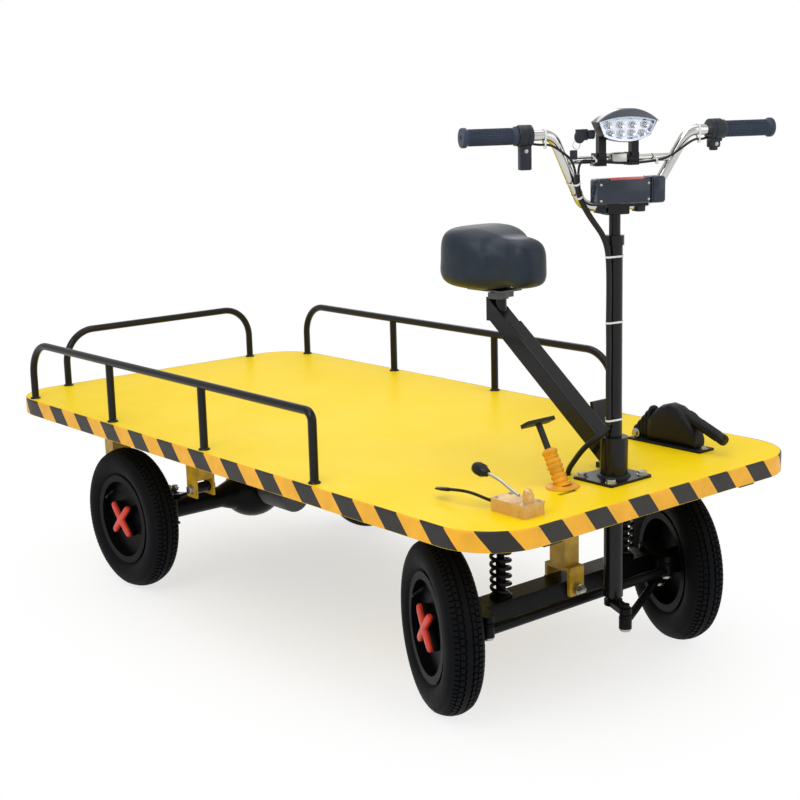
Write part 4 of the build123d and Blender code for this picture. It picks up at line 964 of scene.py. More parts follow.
def read_curve(table, share):
    """Value of a smooth curve through a table's points."""
    for number in range(len(table) - 1):
        (x0, y0), (x1, y1) = table[number], table[number + 1]
        if share <= x1:
            before = table[max(number - 1, 0)]
            after = table[min(number + 2, len(table) - 1)]
            slope0 = (y1 - before[1]) / max(x1 - before[0], 1e-6)
            slope1 = (after[1] - y0) / max(after[0] - x0, 1e-6)
            t, span = (share - x0) / (x1 - x0), x1 - x0
            return ((2 * t ** 3 - 3 * t ** 2 + 1) * y0 + (t ** 3 - 2 * t ** 2 + t) * span * slope0
                    + (3 * t ** 2 - 2 * t ** 3) * y1 + (t ** 3 - t ** 2) * span * slope1)
    return table[-1][1]


def saddle_mesh(inset):
    """The saddle's skin, drawn in by inset."""
    length = seat_high[0] - seat_low[0] - 2 * inset
    count, side_square, top_square, end_power, smallest = 40, 5.0, 8.0, 1 / 2.6, 0.02
    rings = []
    for number in range(count + 1):
        share = (1 - cos(pi * number / count)) / 2
        from_middle = abs(2 * share - 1)
        round_off = max(smallest, (1 - from_middle ** side_square) ** end_power)
        rise_off = max(smallest, (1 - from_middle ** top_square) ** end_power)
        half = (read_curve(saddle_width, share) - inset) * round_off
        top, bottom = read_curve(saddle_top, share) - inset, read_curve(saddle_bottom, share) + inset
        waist = (top + bottom) / 2 - 0.008
        x = seat_low[0] + inset + share * length
        ring = []
        for angle in circle(48):
            c, s = cos(angle), sin(angle)
            y = half * squared(c, 0.45)
            height = (top - waist) if s > 0 else (waist - bottom)
            z = waist + height * rise_off * squared(s, 0.5 if s > 0 else 0.45)
            flare = 1 + 0.05 * (1 - abs(s)) if s < 0 else 1
            ring.append((x, y * flare, seat_low[2] + z))
        rings.append(ring)
    return lofted(rings)


class TRUCK_OT_saddle(bpy.types.Operator):
    """Padded vinyl saddle"""
    bl_idname = "truck.saddle"
    bl_label = "Saddle"

    def execute(self, context):
        seat = context.scene.truck_seat
        cover = hosted("cover", saddle_mesh(0.003))
        modify(cover, "REMESH", mode="VOXEL", voxel_size=seat.voxel)
        modify(cover, "SMOOTH", iterations=6)
        skin = evaluated(cover)
        skin = swollen(skin, seat)
        fine = hosted("fine", skin)
        modify(fine, "SMOOTH", iterations=8)
        modify(fine, "SUBSURF", levels=1, render_levels=1)
        piece = add_chassis_piece("saddle", evaluated(fine), "Seat vinyl", ("seat_cushion",),
                                  sharp=80)
        return {"FINISHED"}


def swollen(mesh, seat):
    """Lets the cover swell under pressure, each point no further than the cap."""
    rest = [vertex.co.copy() for vertex in mesh.vertices]
    cover = hosted("swelling", mesh)
    cloth = modify(cover, "CLOTH")
    for key, value in {"use_pressure": True, "uniform_pressure_force": seat.pressure, "quality": 6,
                       "tension_stiffness": 40, "compression_stiffness": 40}.items():
        setattr(cloth.settings, key, value)
    cloth.settings.effector_weights.gravity = 0
    last_frame = 20
    cloth.point_cache.frame_start, cloth.point_cache.frame_end = 1, last_frame
    for number in range(1, last_frame + 1):
        bpy.context.scene.frame_set(number)
    done = evaluated(cover)
    bpy.context.scene.frame_set(1)
    for vertex, start in zip(done.vertices, rest):
        move = vertex.co - start
        if move.length > seat.swell:
            vertex.co = start + move.normalized() * seat.swell
    return done


# Cables, with the CAD's own points
cable_radius, loom_radius = 0.0025, 0.006
right_cable = (
    (0.028, -0.1943, 1.195), (0.029, -0.180, 1.192), (0.040, -0.158, 1.193), (0.043, -0.133, 1.176),
    (0.041, -0.110, 1.158), (0.0365, -0.103, 1.1323))
left_cable = (
    (0.028, 0.1943, 1.195), (0.030, 0.181, 1.191), (0.042, 0.158, 1.194), (0.043, 0.128, 1.176),
    (0.038, 0.100, 1.157), (0.037, 0.062, 1.151), (0.038, 0.012, 1.149), (0.0385, -0.040, 1.153),
    (0.0385, -0.070, 1.158), (0.037, -0.097, 1.1585), (0.0365, -0.097, 1.1323))
loom_points = (
    (0.0365, -0.100, 1.1315), (0.035, -0.0995, 1.112), (0.030, -0.0925, 1.088), (0.0255, -0.077, 1.059),
    (0.021, -0.056, 1.031), (0.0185, -0.036, 1.006), (0.0172, -0.024, 0.978), (0.0168, -0.0202, 0.940),
    (0.0186, -0.0207, 0.880), (0.0169, -0.0208, 0.822), (0.0182, -0.0204, 0.766), (0.0168, -0.0207, 0.708),
    (0.018, -0.021, 0.652), (0.0168, -0.020, 0.603))
tail_points = (
    (0.0074, -0.0252, 0.5998), (0.0055, -0.029, 0.591), (-0.006, -0.040, 0.577), (-0.027, -0.046, 0.562),
    (-0.050, -0.0475, 0.540), (-0.072, -0.0475, 0.513), (-0.090, -0.047, 0.490), (-0.093, -0.047, 0.468))


class TRUCK_OT_cables(bpy.types.Operator):
    """Cables from the handlebar down the column"""
    bl_idname = "truck.cables"
    bl_label = "Cables"

    def execute(self, context):
        foot = at(column_x, 0, 0)
        for node, points, radius, matrix, body, length in (
                ("cable_right", right_cable, cable_radius, bar_frame, "steering", 0.124),
                ("cable_left", left_cable, cable_radius, bar_frame, "steering", 0.326),
                ("loom", loom_points, loom_radius, bar_frame, "steering", 0.551),
                ("loom_tail", tail_points, loom_radius, foot, "chassis", 0.175)):
            placed = [matrix @ Vector(point) for point in points]
            curve = round_curve(f"{node}_run", placed, radius, 10, 3)
            curve.materials.append(surfaces["Cable rubber"])
            run = hosted(f"{node}_run", curve)
            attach(run, body)
            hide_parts(node)
        return {"FINISHED"}


def band_mesh(circles, axis):
    """A cable tie pulled tight round circles that share a plane, given as (centre, radius)."""
    half_width, inside, outside = 0.002, 0.0002, 0.0011
    axis = Vector(axis).normalized()
    side = axis.orthogonal().normalized()
    up = axis.cross(side)
    heart = sum((Vector(centre) for centre, radius in circles), Vector()) / len(circles)
    flat = []
    for centre, radius in circles:
        offset = Vector(centre) - heart
        for angle in circle(40):
            flat.append((offset.dot(side) + radius * cos(angle), offset.dot(up) + radius * sin(angle)))
    flat = sorted(set(flat))
    hull = []
    for chain in (flat, flat[::-1]):
        part = []
        for point in chain:
            while len(part) > 1 and ((part[-1][0] - part[-2][0]) * (point[1] - part[-2][1])
                                     - (part[-1][1] - part[-2][1]) * (point[0] - part[-2][0])) <= 0:
                part.pop()
            part.append(point)
        hull += part[:-1]
    shape = bmesh.new()
    loops = []
    for x, y in hull:
        ring = []
        for stretch, height in ((inside, -half_width), (outside, -half_width), (outside, half_width),
                                (inside, half_width)):
            share = 1 + stretch / hypot(x, y)
            ring.append(shape.verts.new(heart + side * x * share + up * y * share + axis * height))
        loops.append(ring)
    for here, after in zip(loops, loops[1:] + loops[:1]):
        bridge(shape, here, after)
    band = mesh_of(shape)
    x, y = max(hull, key=lambda point: point[1] - point[0])
    share = 1 + 0.002 / hypot(x, y)
    lock = block_mesh((0.0055, 0.004, 0.006), 0.0006)
    turn = Matrix((side, up, axis)).transposed().to_4x4()
    lock.transform(Matrix.Translation(heart + side * x * share + up * y * share) @ turn
                   @ Matrix.Rotation(atan2(y, x), 4, "Z"))
    return join_meshes((band, lock))


class TRUCK_OT_ties(bpy.types.Operator):
    """White cable ties on the column and the bar"""
    bl_idname = "truck.ties"
    bl_label = "Cable ties"

    def execute(self, context):
        column_round, bar_round, brace_round = 0.0175, 0.0112, 0.0082
        bands = []
        for height, y in ((0.958, -0.0220), (0.8206, -0.0208), (0.612, -0.0203)):
            bands.append(band_mesh((((0, 0, height), column_round), ((0.0170, y, height), loom_radius)), (0, 0, 1)))
        slope = Vector((0.028, -0.078, 0.148)).normalized()
        for bar, cable in (((0.0047, -0.0852, 1.088), (0.0300, -0.0925, 1.088)),
                           ((0.0097, -0.0990, 1.114), (0.0352, -0.0996, 1.114))):
            bands.append(band_mesh(((bar, bar_round), (cable, loom_radius)), slope))
        # Place across the truck, then (x, z) and radius of the bar and of the cable
        for y, (bar_x, bar_z), bar_radius, (cable_x, cable_z), radius in (
                (-0.060, (0.0195, 1.158), brace_round, (0.0378, 1.1567), 0.0028),
                (0.075, (0.0195, 1.158), brace_round, (0.0378, 1.1522), 0.0028),
                (-0.168, (bar_forward, bar_height), bar_round, (0.0345, 1.1923), 0.003),
                (0.172, (bar_forward, bar_height), bar_round, (0.0345, 1.1923), 0.003)):
            bands.append(band_mesh((((bar_x, y, bar_z), bar_radius), ((cable_x, y, cable_z), radius)), (0, 1, 0)))
        add_bar_piece("cable_ties", join_meshes(bands), "Tie nylon")
        return {"FINISHED"}


# Bar: grips and housings
bar_forward, bar_height, grip_inner, grip_outer = 0.028, 1.211, 0.226, 0.343
grip_radius, grip_flange = 0.0165, 0.329


def along_bar(side):
    """From Z along the axis to the bar's end on one side."""
    return at(bar_forward, 0, bar_height) @ turned(-90 * side, "X")


class TRUCK_OT_bar(bpy.types.Operator):
    """Rubber grips and switch housings"""
    bl_idname = "truck.bar"
    bl_label = "Grips and switches"

    def execute(self, context):
        valley = grip_radius - 0.0008
        grip = turned_mesh([
            (0.0113, grip_inner), (0.0185, grip_inner), (0.0192, grip_inner + 0.002), (0.0192, grip_inner + 0.005),
            (0.0172, grip_inner + 0.007), (valley, grip_inner + 0.010), (valley, grip_flange),
            (0.0176, grip_flange + 0.003), (0.0199, grip_flange + 0.005), (0.0199, grip_outer - 0.002),
            (0.0186, grip_outer), (0.006, grip_outer), (0.005, grip_outer - 0.002), (0.0, grip_outer - 0.002)], 40)
        rib_length = grip_flange - grip_inner - 0.012
        rib_middle = grip_inner + 0.0105 + rib_length / 2
        rib = block_mesh((rib_length, 0.0021, 0.0016), 0.0005, (rib_middle, 0, grip_radius - 0.0005), 1)
        ribs = grown("Ring of copies", rib, "Grip rubber", count=30)
        ribs.transform(turned(-90, "Y"))
        barrel_start = grip_inner - 0.031
        barrel = turned_mesh([(radius, barrel_start + along) for radius, along in (
            (0.0113, 0), (0.0195, 0), (0.0218, 0.002), (0.0218, 0.009), (0.0206, 0.010), (0.0206, 0.012),
            (0.0219, 0.013), (0.0219, 0.027), (0.0200, 0.0302), (0.0113, 0.0302))], 40)
        sides = ((-1, "right", (0.019, 0.024, 0.057), 0.047), (1, "left", (0.019, 0.028, 0.026), 0.020))
        for side, tag, block_size, drop in sides:
            first = side < 0
            add_piece(f"grip_{tag}", join_meshes((grip, ribs)), "Grip rubber", "steering",
                      ("grips",) if first else (), bar_frame @ along_bar(side))
            inner = side * (barrel_start + block_size[1] / 2 + 0.002)
            block = block_mesh(block_size, 0.003, (bar_forward, inner, bar_height - drop + 0.008), 3)
            screw_place = at(bar_forward + block_size[0] / 2, inner, bar_height - 0.030)
            screw = moved(hex_bolt(0.0028, 0.002, 0.004), screw_place @ axis_along_x)
            housing = [moved(barrel, along_bar(side)), block]
            if side > 0:
                button = turned_mesh([
                    (0, 0), (0.013, 0), (0.014, 0.002), (0.014, 0.013), (0.012, 0.015), (0.009, 0.0152),
                    (0.009, 0.019), (0.0075, 0.021), (0, 0.0215)], 32)
                place = at(bar_forward - 0.004, inner, bar_height - 0.022) @ turned(180, "X")
                housing.append(moved(button, place))
            add_bar_piece(f"housing_{tag}", join_meshes(housing), "Switch plastic",
                          ("bar_housings",) if first else ())
            add_bar_piece(f"housing_screw_{tag}", screw, "Zinc")
        return {"FINISHED"}


# Lamp
lamp_front, lamp_side, lamp_z, lamp_half, lamp_low = 0.076, -0.008, 1.225, 0.065, 0.032
diode_depth = 0.0066


def lamp_points(margin):
    """Outline of the lamp's lens as (y, z) about its middle, drawn in from the case by margin: brow, then chin."""
    half, low, grow = lamp_half - margin, lamp_low - margin, margin - 0.005
    shoulder, cheek = 0.009 - 0.5 * grow, 0.8 * grow - 0.017
    brow = arc_points((half, shoulder), (0, 0.017 - grow), (-half, shoulder), 20)
    chin = arc_points((-half * 0.8, cheek), (0, -low), (half * 0.8, cheek), 20)
    return brow + chin


def lamp_layers(layers):
    """A skin through outlines of the lens, each a distance before the case's rim and drawn in by a margin."""
    return lofted([[(lamp_front + x, lamp_side + y, lamp_z + z) for y, z in lamp_points(margin)]
                   for x, margin in layers])


class TRUCK_OT_lamp(bpy.types.Operator):
    """Headlamp's reflector, diodes, cover, visor and key"""
    bl_idname = "truck.lamp"
    bl_label = "Headlamp"

    def execute(self, context):
        plate = lamp_layers((
            (-0.0078, 0.0056), (0.0003, 0.0056), (0.0003, 0.0018), (0.0010, 0.0018), (0.0010, 0.0066),
            (-diode_depth, 0.0092)))
        add_bar_piece("lamp_reflector", plate, "Reflector")
        cup = turned_mesh([(0.0030, 0.0002), (0.0040, 0.0010), (0.0069, 0.0048), (0.0074, 0.0050), (0.0074, 0.0002),
                           (0.0030, 0.0002)], 24)
        diode = turned_mesh([
            (0, 0), (0.0032, 0), (0.0032, 0.0014), (0.0024, 0.0030), (0.0011, 0.0038), (0, 0.0040)], 18)
        # Two rows of four: height and spacing
        spots = [(lamp_front - diode_depth, lamp_side + column * spacing, lamp_z + z)
                 for z, spacing in ((0.0020, 0.0265), (-0.0140, 0.0230)) for column in (-1.5, -0.5, 0.5, 1.5)]
        cups = copies_at(moved(cup, axis_along_x), spots, "Reflector")
        diodes = copies_at(moved(diode, axis_along_x), spots, "Lamp diode")
        add_bar_piece("lamp_cups", cups, "Reflector")
        add_bar_piece("lamp_diodes", diodes, "Lamp diode")
        cover = lamp_layers(((0.0012, 0.0020), (0.0022, 0.0026), (0.0036, 0.0080), (0.0044, 0.014), (0.0032, 0.014),
                             (0.0024, 0.0082), (0.0016, 0.0034)))
        add_bar_piece("lamp_cover", cover, "Lens", ("headlamp_lens",), sharp=50)
        visor_front = lamp_front + 0.006
        brow = arc_points((lamp_half + 0.001, 0.0095), (0, lamp_low + 0.0030), (-lamp_half - 0.001, 0.0095), 24)
        inner = arc_points((lamp_half - 0.001, 0.0090), (0, 0.0185), (-lamp_half + 0.001, 0.0090), 24)
        rings = []
        for (y0, z0), (y1, z1) in zip(brow, inner):
            visor_back = lamp_front - 0.004 - 0.024 * (1 - (y0 / (lamp_half + 0.001)) ** 4)
            y0, y1, z0, z1 = lamp_side + y0, lamp_side + y1, lamp_z + z0, lamp_z + z1
            rings.append([(visor_back, y0, z0), (visor_front - 0.002, y0, z0), (visor_front, y0, z0 - 0.002),
                          (visor_front, y1, z1), (visor_front - 0.004, y1, z1), (visor_back, y0, z0 - 0.0012)])
        add_bar_piece("lamp_visor", lofted(rings), "Lamp visor")
        self.add_key()
        ends = join_meshes([block_mesh((0.030, 0.020, 0.026), 0.003, (0.002, y, 1.061), 3) for y in (-0.034, 0.052)])
        add_bar_piece("bar_ends", ends, "Switch plastic")
        clamp = block_mesh((0.030, 0.034, 0.022), 0.004, (0.0225, -0.006, 1.1605), 3)
        add_bar_piece("bar_clamp", clamp, "Zinc")
        return {"FINISHED"}

    def add_key(self):
        """Key with its ring and a second key on it."""
        key_x = 0.052
        head = lofted([[(key_x + x * 0.9, 0.011 * cos(a) * scale - 0.101, 1.206 + 0.013 * sin(a) * scale)
                        for a in circle(20)]
                       for x, scale in ((-0.004, 0.85), (-0.0025, 1.0), (0.0025, 1.0), (0.004, 0.85))])
        blade = block_mesh((0.002, 0.022, 0.008), 0.0004, (key_x, -0.082, 1.208), 1)
        ring = tube_mesh([(key_x + 0.001 * sin(2 * a), 0.008 * cos(a) - 0.108, 1.190 + 0.008 * sin(a))
                          for a in circle(16) + [tau]], 0.0007, 4)
        spare = block_mesh((0.005, 0.016, 0.019), 0.002, (key_x, -0.114, 1.171), 2)
        add_bar_piece("key_head", join_meshes((head, spare)), "Switch plastic")
        add_bar_piece("key_blade", join_meshes((blade, ring)), "Zinc")


class TRUCK_OT_display(bpy.types.Operator):
    """Display box with its end cap and red strip"""
    bl_idname = "truck.display"
    bl_label = "Display box"

    def execute(self, context):
        low_z, high_z = 1.070, 1.124
        middle_z = (low_z + high_z) / 2
        main = block_mesh((0.042, 0.118, high_z - low_z - 0.003), 0.006, (0.062, -0.016, middle_z), 4)
        seam = block_mesh((0.0432, 0.003, high_z - low_z - 0.001), 0.001, (0.062, 0.0445, middle_z), 1)
        cap = block_mesh((0.044, 0.030, high_z - low_z), 0.007, (0.062, 0.060, middle_z), 4)
        add_bar_piece("display_case", join_meshes((main, seam, cap)), "Display plastic",
                      ("display_box",))
        strip = block_mesh((0.020, 0.074, 0.007), 0.002, (0.072, -0.010, high_z - 0.0038), 3)
        add_bar_piece("red_strip", strip, "Red plastic")
        face = block_mesh((0.003, 0.090, 0.034), 0.001, (0.0408, -0.016, middle_z), 2)
        add_bar_piece("display_face", face, "Lamp visor")
        spots = [(0.0832, y, z) for y in (-0.068, 0.036) for z in (middle_z - 0.018, middle_z + 0.014)]
        screw = turned_mesh([(0, 0), (0.0028, 0), (0.0024, 0.0008), (0.001, 0.001), (0, 0.0004)], 16)
        screws = copies_at(moved(screw, axis_along_x), spots, "Zinc")
        add_bar_piece("display_screws", screws, "Zinc")
        return {"FINISHED"}


# Bolts, nuts and welds
class TRUCK_OT_bolts(bpy.types.Operator):
    """Bolt heads, nuts, ball-joint boots and weld beads"""
    bl_idname = "truck.bolts"
    bl_label = "Bolts and welds"

    def execute(self, context):
        spots = [(column_x - 0.004 + x, y, plate_top) for x in (-0.041, 0.041) for y in (-0.050, 0.050)]
        heads = copies_at(hex_bolt(0.0098, 0.0065, 0.0125), spots, "Zinc")
        add_chassis_piece("plate_bolts", heads, "Zinc")
        fork_low, fork_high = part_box("pivot_fork")
        pivot_z = fork_low[2] + 0.020
        nut = hex_bolt(0.0115, 0.008, 0.013)
        nuts = [moved(nut, at(x, 0, pivot_z) @ turned(90 * side, "Y"))
                for side, x in ((1, fork_high[0] + 0.010), (-1, fork_low[0] - 0.010))]
        hanger_low, hanger_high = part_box("spring_hangers")
        eye_x = (hanger_low[0] + 0.022, hanger_high[0] - 0.022)
        eye_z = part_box("leaf_springs")[1][2] - 0.014
        hanger_width = 0.058
        for x in eye_x:
            for side in (-1, 1):
                outer = side * (hanger_high[1] + 0.0002)
                inner = side * (hanger_high[1] - hanger_width - 0.0002)
                for y, way in ((outer, side), (inner, -side)):
                    nuts.append(moved(nut, at(x, y, eye_z) @ turned(-90 * way, "X")))
        add_chassis_piece("frame_nuts", join_meshes(nuts), "Zinc")
        clamp_low, clamp_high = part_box("axle_clamps")
        rear_x = middle(clamp_low, clamp_high, 0)
        strap_y = clamp_high[1] - 0.034
        spots = [(rear_x + x, side * strap_y + y, clamp_high[2] - 0.006) for side in (-1, 1)
                 for x in (-0.036, 0.036) for y in (-0.028, 0.028)]
        strap_nuts = copies_at(hex_bolt(0.0085, 0.0065, 0.011), spots, "Zinc")
        add_chassis_piece("strap_nuts", strap_nuts, "Zinc")
        self.add_welds()
        self.add_boots()
        return {"FINISHED"}

    def add_welds(self):
        """Beads where the rails' posts and the column's sleeve stand on steel."""
        bead = turned_mesh([(0.0099, 0), (0.0145, 0), (0.0137, 0.0026), (0.0117, 0.0044), (0.0099, 0.0052)], 28)
        spots = []
        for node in ("rail_right", "rail_left"):
            low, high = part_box(node)
            radius = (high[1] - low[1]) / 2
            y, start, end = middle(low, high, 1), low[0] + radius, high[0] - radius
            spots += [(start + (end - start) * post / 3, y, deck_top) for post in range(4)]
        low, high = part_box("rail_rear")
        radius = (high[0] - low[0]) / 2
        spots += [(middle(low, high, 0), y, deck_top) for y in (low[1] + radius, high[1] - radius)]
        add_chassis_piece("rail_welds", copies_at(bead, spots, "Rail paint"), "Rail paint")
        ring = turned_mesh([(0.0299, 0), (0.0365, 0), (0.0352, 0.003), (0.0325, 0.0052), (0.0299, 0.006)], 40)
        ring.transform(at(column_x, 0, plate_top))
        add_chassis_piece("sleeve_weld", ring, "Weld")

    def add_boots(self):
        """Rubber boots round the ball joints of the steering rods."""
        boot = turned_mesh([(0.0088, 0), (0.0128, 0.0002), (0.0136, 0.0016), (0.0122, 0.0030), (0.0132, 0.0044),
                            (0.0112, 0.0060), (0.0088, 0.0062)], 28)
        cap_height = 0.0066
        cap = turned_mesh([(0, 0), (0.0105, 0), (0.0118, 0.0012), (0.0128, 0.0034), (0.0128, 0.0050),
                           (0.0139, 0.0052), (0.0139, cap_height), (0, cap_height)], 28)
        arm_way = Vector((cos(resting_turn), sin(resting_turn), 0))
        tie_arm, drag_arm = arm_way * 0.100, arm_way * 0.062
        right_pin, left_pin = (Vector(joints[name]["pos_m"]) for name in ("kingpin_right", "kingpin_left"))
        for number, (centre, link, node) in enumerate((
                (right_pin + tie_arm, "tie_link", "tie_rod"), (left_pin + tie_arm, "tie_link", "tie_rod"),
                (left_pin + drag_arm, "drag_bar", "drag_link"),
                (Vector((column_x, 0, 0)) + drag_arm, "drag_bar", "drag_link"))):
            low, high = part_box(node)
            over = at(centre.x, centre.y, high[2])
            under = at(centre.x, centre.y, low[2] - 0.0064)
            add_piece(f"joint_boot_{number}", moved(boot, over), "Boot rubber", link)
            add_piece(f"joint_cap_{number}", moved(cap, under), "Zinc", link)


# Foot and hand controls
class TRUCK_OT_controls(bpy.types.Operator):
    """Pedals, gear levers and hand brake"""
    bl_idname = "truck.controls"
    bl_label = "Pedals and levers"

    def execute(self, context):
        self.add_sleeve()
        self.add_levers()
        self.add_hand_brake()
        return {"FINISHED"}

    def add_sleeve(self):
        """The ribbed sleeve of the brake pedal, its flange on the deck, and a black sheet under the pedal's slot as
        painted shade.
        """
        rib_count, rib_pitch = 7, 0.0108
        ribs = [(0.0073, -0.003), (0.0200, -0.003), (0.0208, 0.004)]
        for rib in range(rib_count):
            low = 0.006 + rib * rib_pitch
            swell = 0.0007 * sin(rib * 2.3)
            ribs += [(0.0145 + swell, low), (0.0162 + swell, low + 0.0022), (0.0166 + swell, low + 0.0062),
                     (0.0147 + swell, low + 0.0088)]
        ribs += [(0.0125, 0.0820), (0.0104, 0.0835), (0.0073, 0.0836)]
        sleeve = turned_mesh(ribs, 36, closed=True)
        lean = turned(-29, "Y")
        sleeve.transform(at(column_x - 0.032, -0.125, deck_top + 0.0015) @ lean)
        for vertex in sleeve.vertices:
            vertex.co.z = max(vertex.co.z, deck_top + 0.0004)
        flange = turned_mesh([
            (0.012, 0), (0.030, 0), (0.031, 0.001), (0.029, 0.0032), (0.017, 0.0042), (0.012, 0.0042)], 40,
            closed=True)
        oval = Matrix.Diagonal((1.1, 1.25, 1, 1))
        flange.transform(at(column_x - 0.028, -0.128, deck_top + 0.0003) @ oval)
        add_chassis_piece("sleeve_bellows", join_meshes((sleeve, flange)), "Sleeve rubber",
                          ("pedal_sleeve",))
        # A black sheet just under the deck's slot for the pedal: painted shade that fills the opening.
        slot = block_mesh((0.013, 0.054, 0.0012), 0.0004, (column_x + 0.008, -0.152, deck_top - 0.0042), 1)
        add_chassis_piece("pedal_slot", slot, "Boot rubber")

    def add_levers(self):
        """Knobs, and the pressed lines and screws of the lever box."""
        bulb = turned_mesh([
            (0, -0.001), (0.0078, -0.001), (0.0088, 0.002), (0.0105, 0.006), (0.0130, 0.014), (0.0134, 0.026),
            (0.0118, 0.035), (0.0075, 0.0395), (0, 0.0405)], 32)
        upper_y = -0.328
        heading = Vector((-0.054, 0, 0.010)).to_track_quat("Z", "Y").to_matrix().to_4x4()
        upper = at(column_x - 0.046, upper_y, 0.545) @ heading
        knob = moved(bulb, upper)
        rib = block_mesh((0.0012, 0.0016, 0.018), 0.0004, (0.0131, 0, 0.020), 1)
        ridge = join_meshes([moved(rib, Matrix.Rotation(angle, 4, "Z")) for angle in circle(16)])
        ridge.transform(upper)
        pad = lofted([[(x, half * cos(a), 0.0035 * thick * sin(a)) for a in circle(24)]
                      for x, half, thick in ((0, 0.0045, 1.1), (-0.006, 0.0065, 1.2), (-0.016, 0.0095, 1.1),
                                             (-0.030, 0.0098, 0.9), (-0.038, 0.0075, 0.8), (-0.041, 0.003, 0.5))])
        pad.transform(at(column_x - 0.121, -0.364, 0.503) @ turned(-6, "Y"))
        add_chassis_piece("lever_grips", join_meshes((knob, ridge, pad)), "Knob plastic",
                          ("lever_knobs",))
        foot = at(column_x, 0, 0)
        upper_rod = tube_mesh([(x, upper_y, z) for x, z in (
            (0.045, 0.516), (0.025, 0.522), (-0.010, 0.5385), (-0.047, 0.5452))], 0.0033, 10)
        lower_rod = tube_mesh([(-0.014, -0.342, 0.495), (-0.028, -0.342, 0.495), (-0.062, -0.355, 0.506),
                               (-0.094, -0.363, 0.507), (-0.124, -0.364, 0.503)], 0.0034, 10)
        add_chassis_piece("upper_lever", moved(upper_rod, foot), "Zinc", ("lever_rods",))
        add_chassis_piece("lower_lever", moved(lower_rod, foot), "Knob plastic")
        low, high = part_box("lever_box")
        top = deck_top + 0.025
        rail = [block_mesh((high[0] - low[0] + 0.002, high[1] - low[1] + 0.002, 0.0022), 0.0008,
                           (middle(low, high, 0), middle(low, high, 1), top + 0.0010), 1)]
        for size, x, y, count, step in (
                ((0.0016, 0.0012, 0.018), low[0] + 0.010, low[1] - 0.0002, 13, (0.0073, 0, 0)),
                ((0.0012, 0.0016, 0.018), high[0] + 0.0002, low[1] + 0.009, 7, (0, 0.0073, 0))):
            line = block_mesh(size, 0.0005, (x, y, deck_top + 0.012), 1)
            rail.append(grown("Row of copies", line, "Yellow zinc", count=count, step=step))
        ball = turned_mesh([(0, 0), (0.009, 0), (0.0095, 0.004), (0.0065, 0.007), (0.0065, 0.012), (0.0085, 0.016),
                            (0.0092, 0.021), (0.0080, 0.026), (0.0045, 0.029), (0, 0.030)], 24)
        rail.append(moved(ball, at(high[0] - 0.020, middle(low, high, 1), top)))
        add_chassis_piece("box_trim", join_meshes(rail), "Yellow zinc")
        spots = [(x, y, top + 0.002) for x in (low[0] + 0.009, high[0] - 0.009)
                 for y in (low[1] + 0.009, high[1] - 0.009)]
        screws = copies_at(hex_bolt(0.0035, 0.0024, 0.0048), spots, "Zinc")
        add_chassis_piece("box_screws", screws, "Zinc")

    def add_hand_brake(self):
        """Hood, handle and boot of the hand brake."""
        y = 0.320
        base = plate_top
        plate = block_mesh((0.215, 0.054, 0.0055), 0.0018, (column_x - 0.1115, y, deck_top + 0.0028), 2)
        # Place along the truck, height and half width
        hood_table = (
            (-0.166, 0.030, 0.0190), (-0.160, 0.058, 0.0225), (-0.148, 0.073, 0.0235), (-0.128, 0.088, 0.0235),
            (-0.104, 0.095, 0.0230), (-0.080, 0.091, 0.0225), (-0.058, 0.079, 0.0215), (-0.042, 0.060, 0.0205),
            (-0.032, 0.042, 0.0195), (-0.026, 0.022, 0.0180))
        rings = []
        for x, height, half in hood_table:
            ring = []
            for angle in circle(28):
                c, s = cos(angle), sin(angle)
                wrinkle = 0.0026 * noise.noise(Vector((x * 130, c * 4, s * 4)))
                ring.append((column_x + x, y + (half + wrinkle) * squared(c, 0.6),
                             base + height * (0.5 + 0.5 * squared(s, 0.55))))
            rings.append(ring)
        hood = lofted(rings)
        handle_start = Vector((column_x - 0.060, y, 0.556))
        along = Vector((column_x + 0.049, y, 0.5125)) - handle_start
        turn = along.to_track_quat("Z", "Y").to_matrix().to_4x4()
        reach = along.length
        handle = turned_mesh([
            (0, 0), (0.0150, 0), (0.0155, 0.012), (0.0128, 0.026), (0.0122, reach - 0.020),
            (0.0130, reach - 0.014), (0.0130, reach - 0.006), (0.0105, reach - 0.001), (0, reach)], 32)
        handle.transform(Matrix.Translation(handle_start) @ turn)
        ring = turned_mesh([(0.0118, 0), (0.0134, 0.0008), (0.0134, 0.0030), (0.0118, 0.0038)], 28)
        ring.transform(axis_along_x)
        rings = grown("Row of copies", ring, "Boot rubber", count=9, step=(0.0062, 0, 0))
        rings.transform(Matrix.Translation(handle_start + along * 0.34) @ turn @ turned(-90, "Y"))
        add_chassis_piece("brake_hood", join_meshes((plate, hood, handle, rings)), "Boot rubber",
                          ("hand_brake",))
        boot_table = []
        for fold in range(5):
            x, low = -0.210 + fold * 0.0105, 0.016 + fold * 0.0125
            boot_table += [(x, low + 0.006, 0.0165), (x + 0.0030, low + 0.014, 0.0200),
                           (x + 0.0075, low + 0.013, 0.0200), (x + 0.0100, low + 0.010, 0.0168)]
        folds = [[(column_x + x, y + half * squared(cos(a), 0.7),
                   base + height * (0.5 + 0.5 * squared(sin(a), 0.6))) for a in circle(28)]
                 for x, height, half in boot_table]
        add_chassis_piece("brake_boot", lofted(folds), "Boot rubber", ("hand_brake_boot",))
        bolt = moved(hex_bolt(0.0065, 0.005, 0.0095), at(column_x - 0.014, y, base))
        pin = moved(hex_bolt(0.008, 0.006, 0.011), at(column_x - 0.198, y - 0.0205, base + 0.012) @ turned(90, "X"))
        add_chassis_piece("brake_bolts", join_meshes((bolt, pin)), "Zinc")


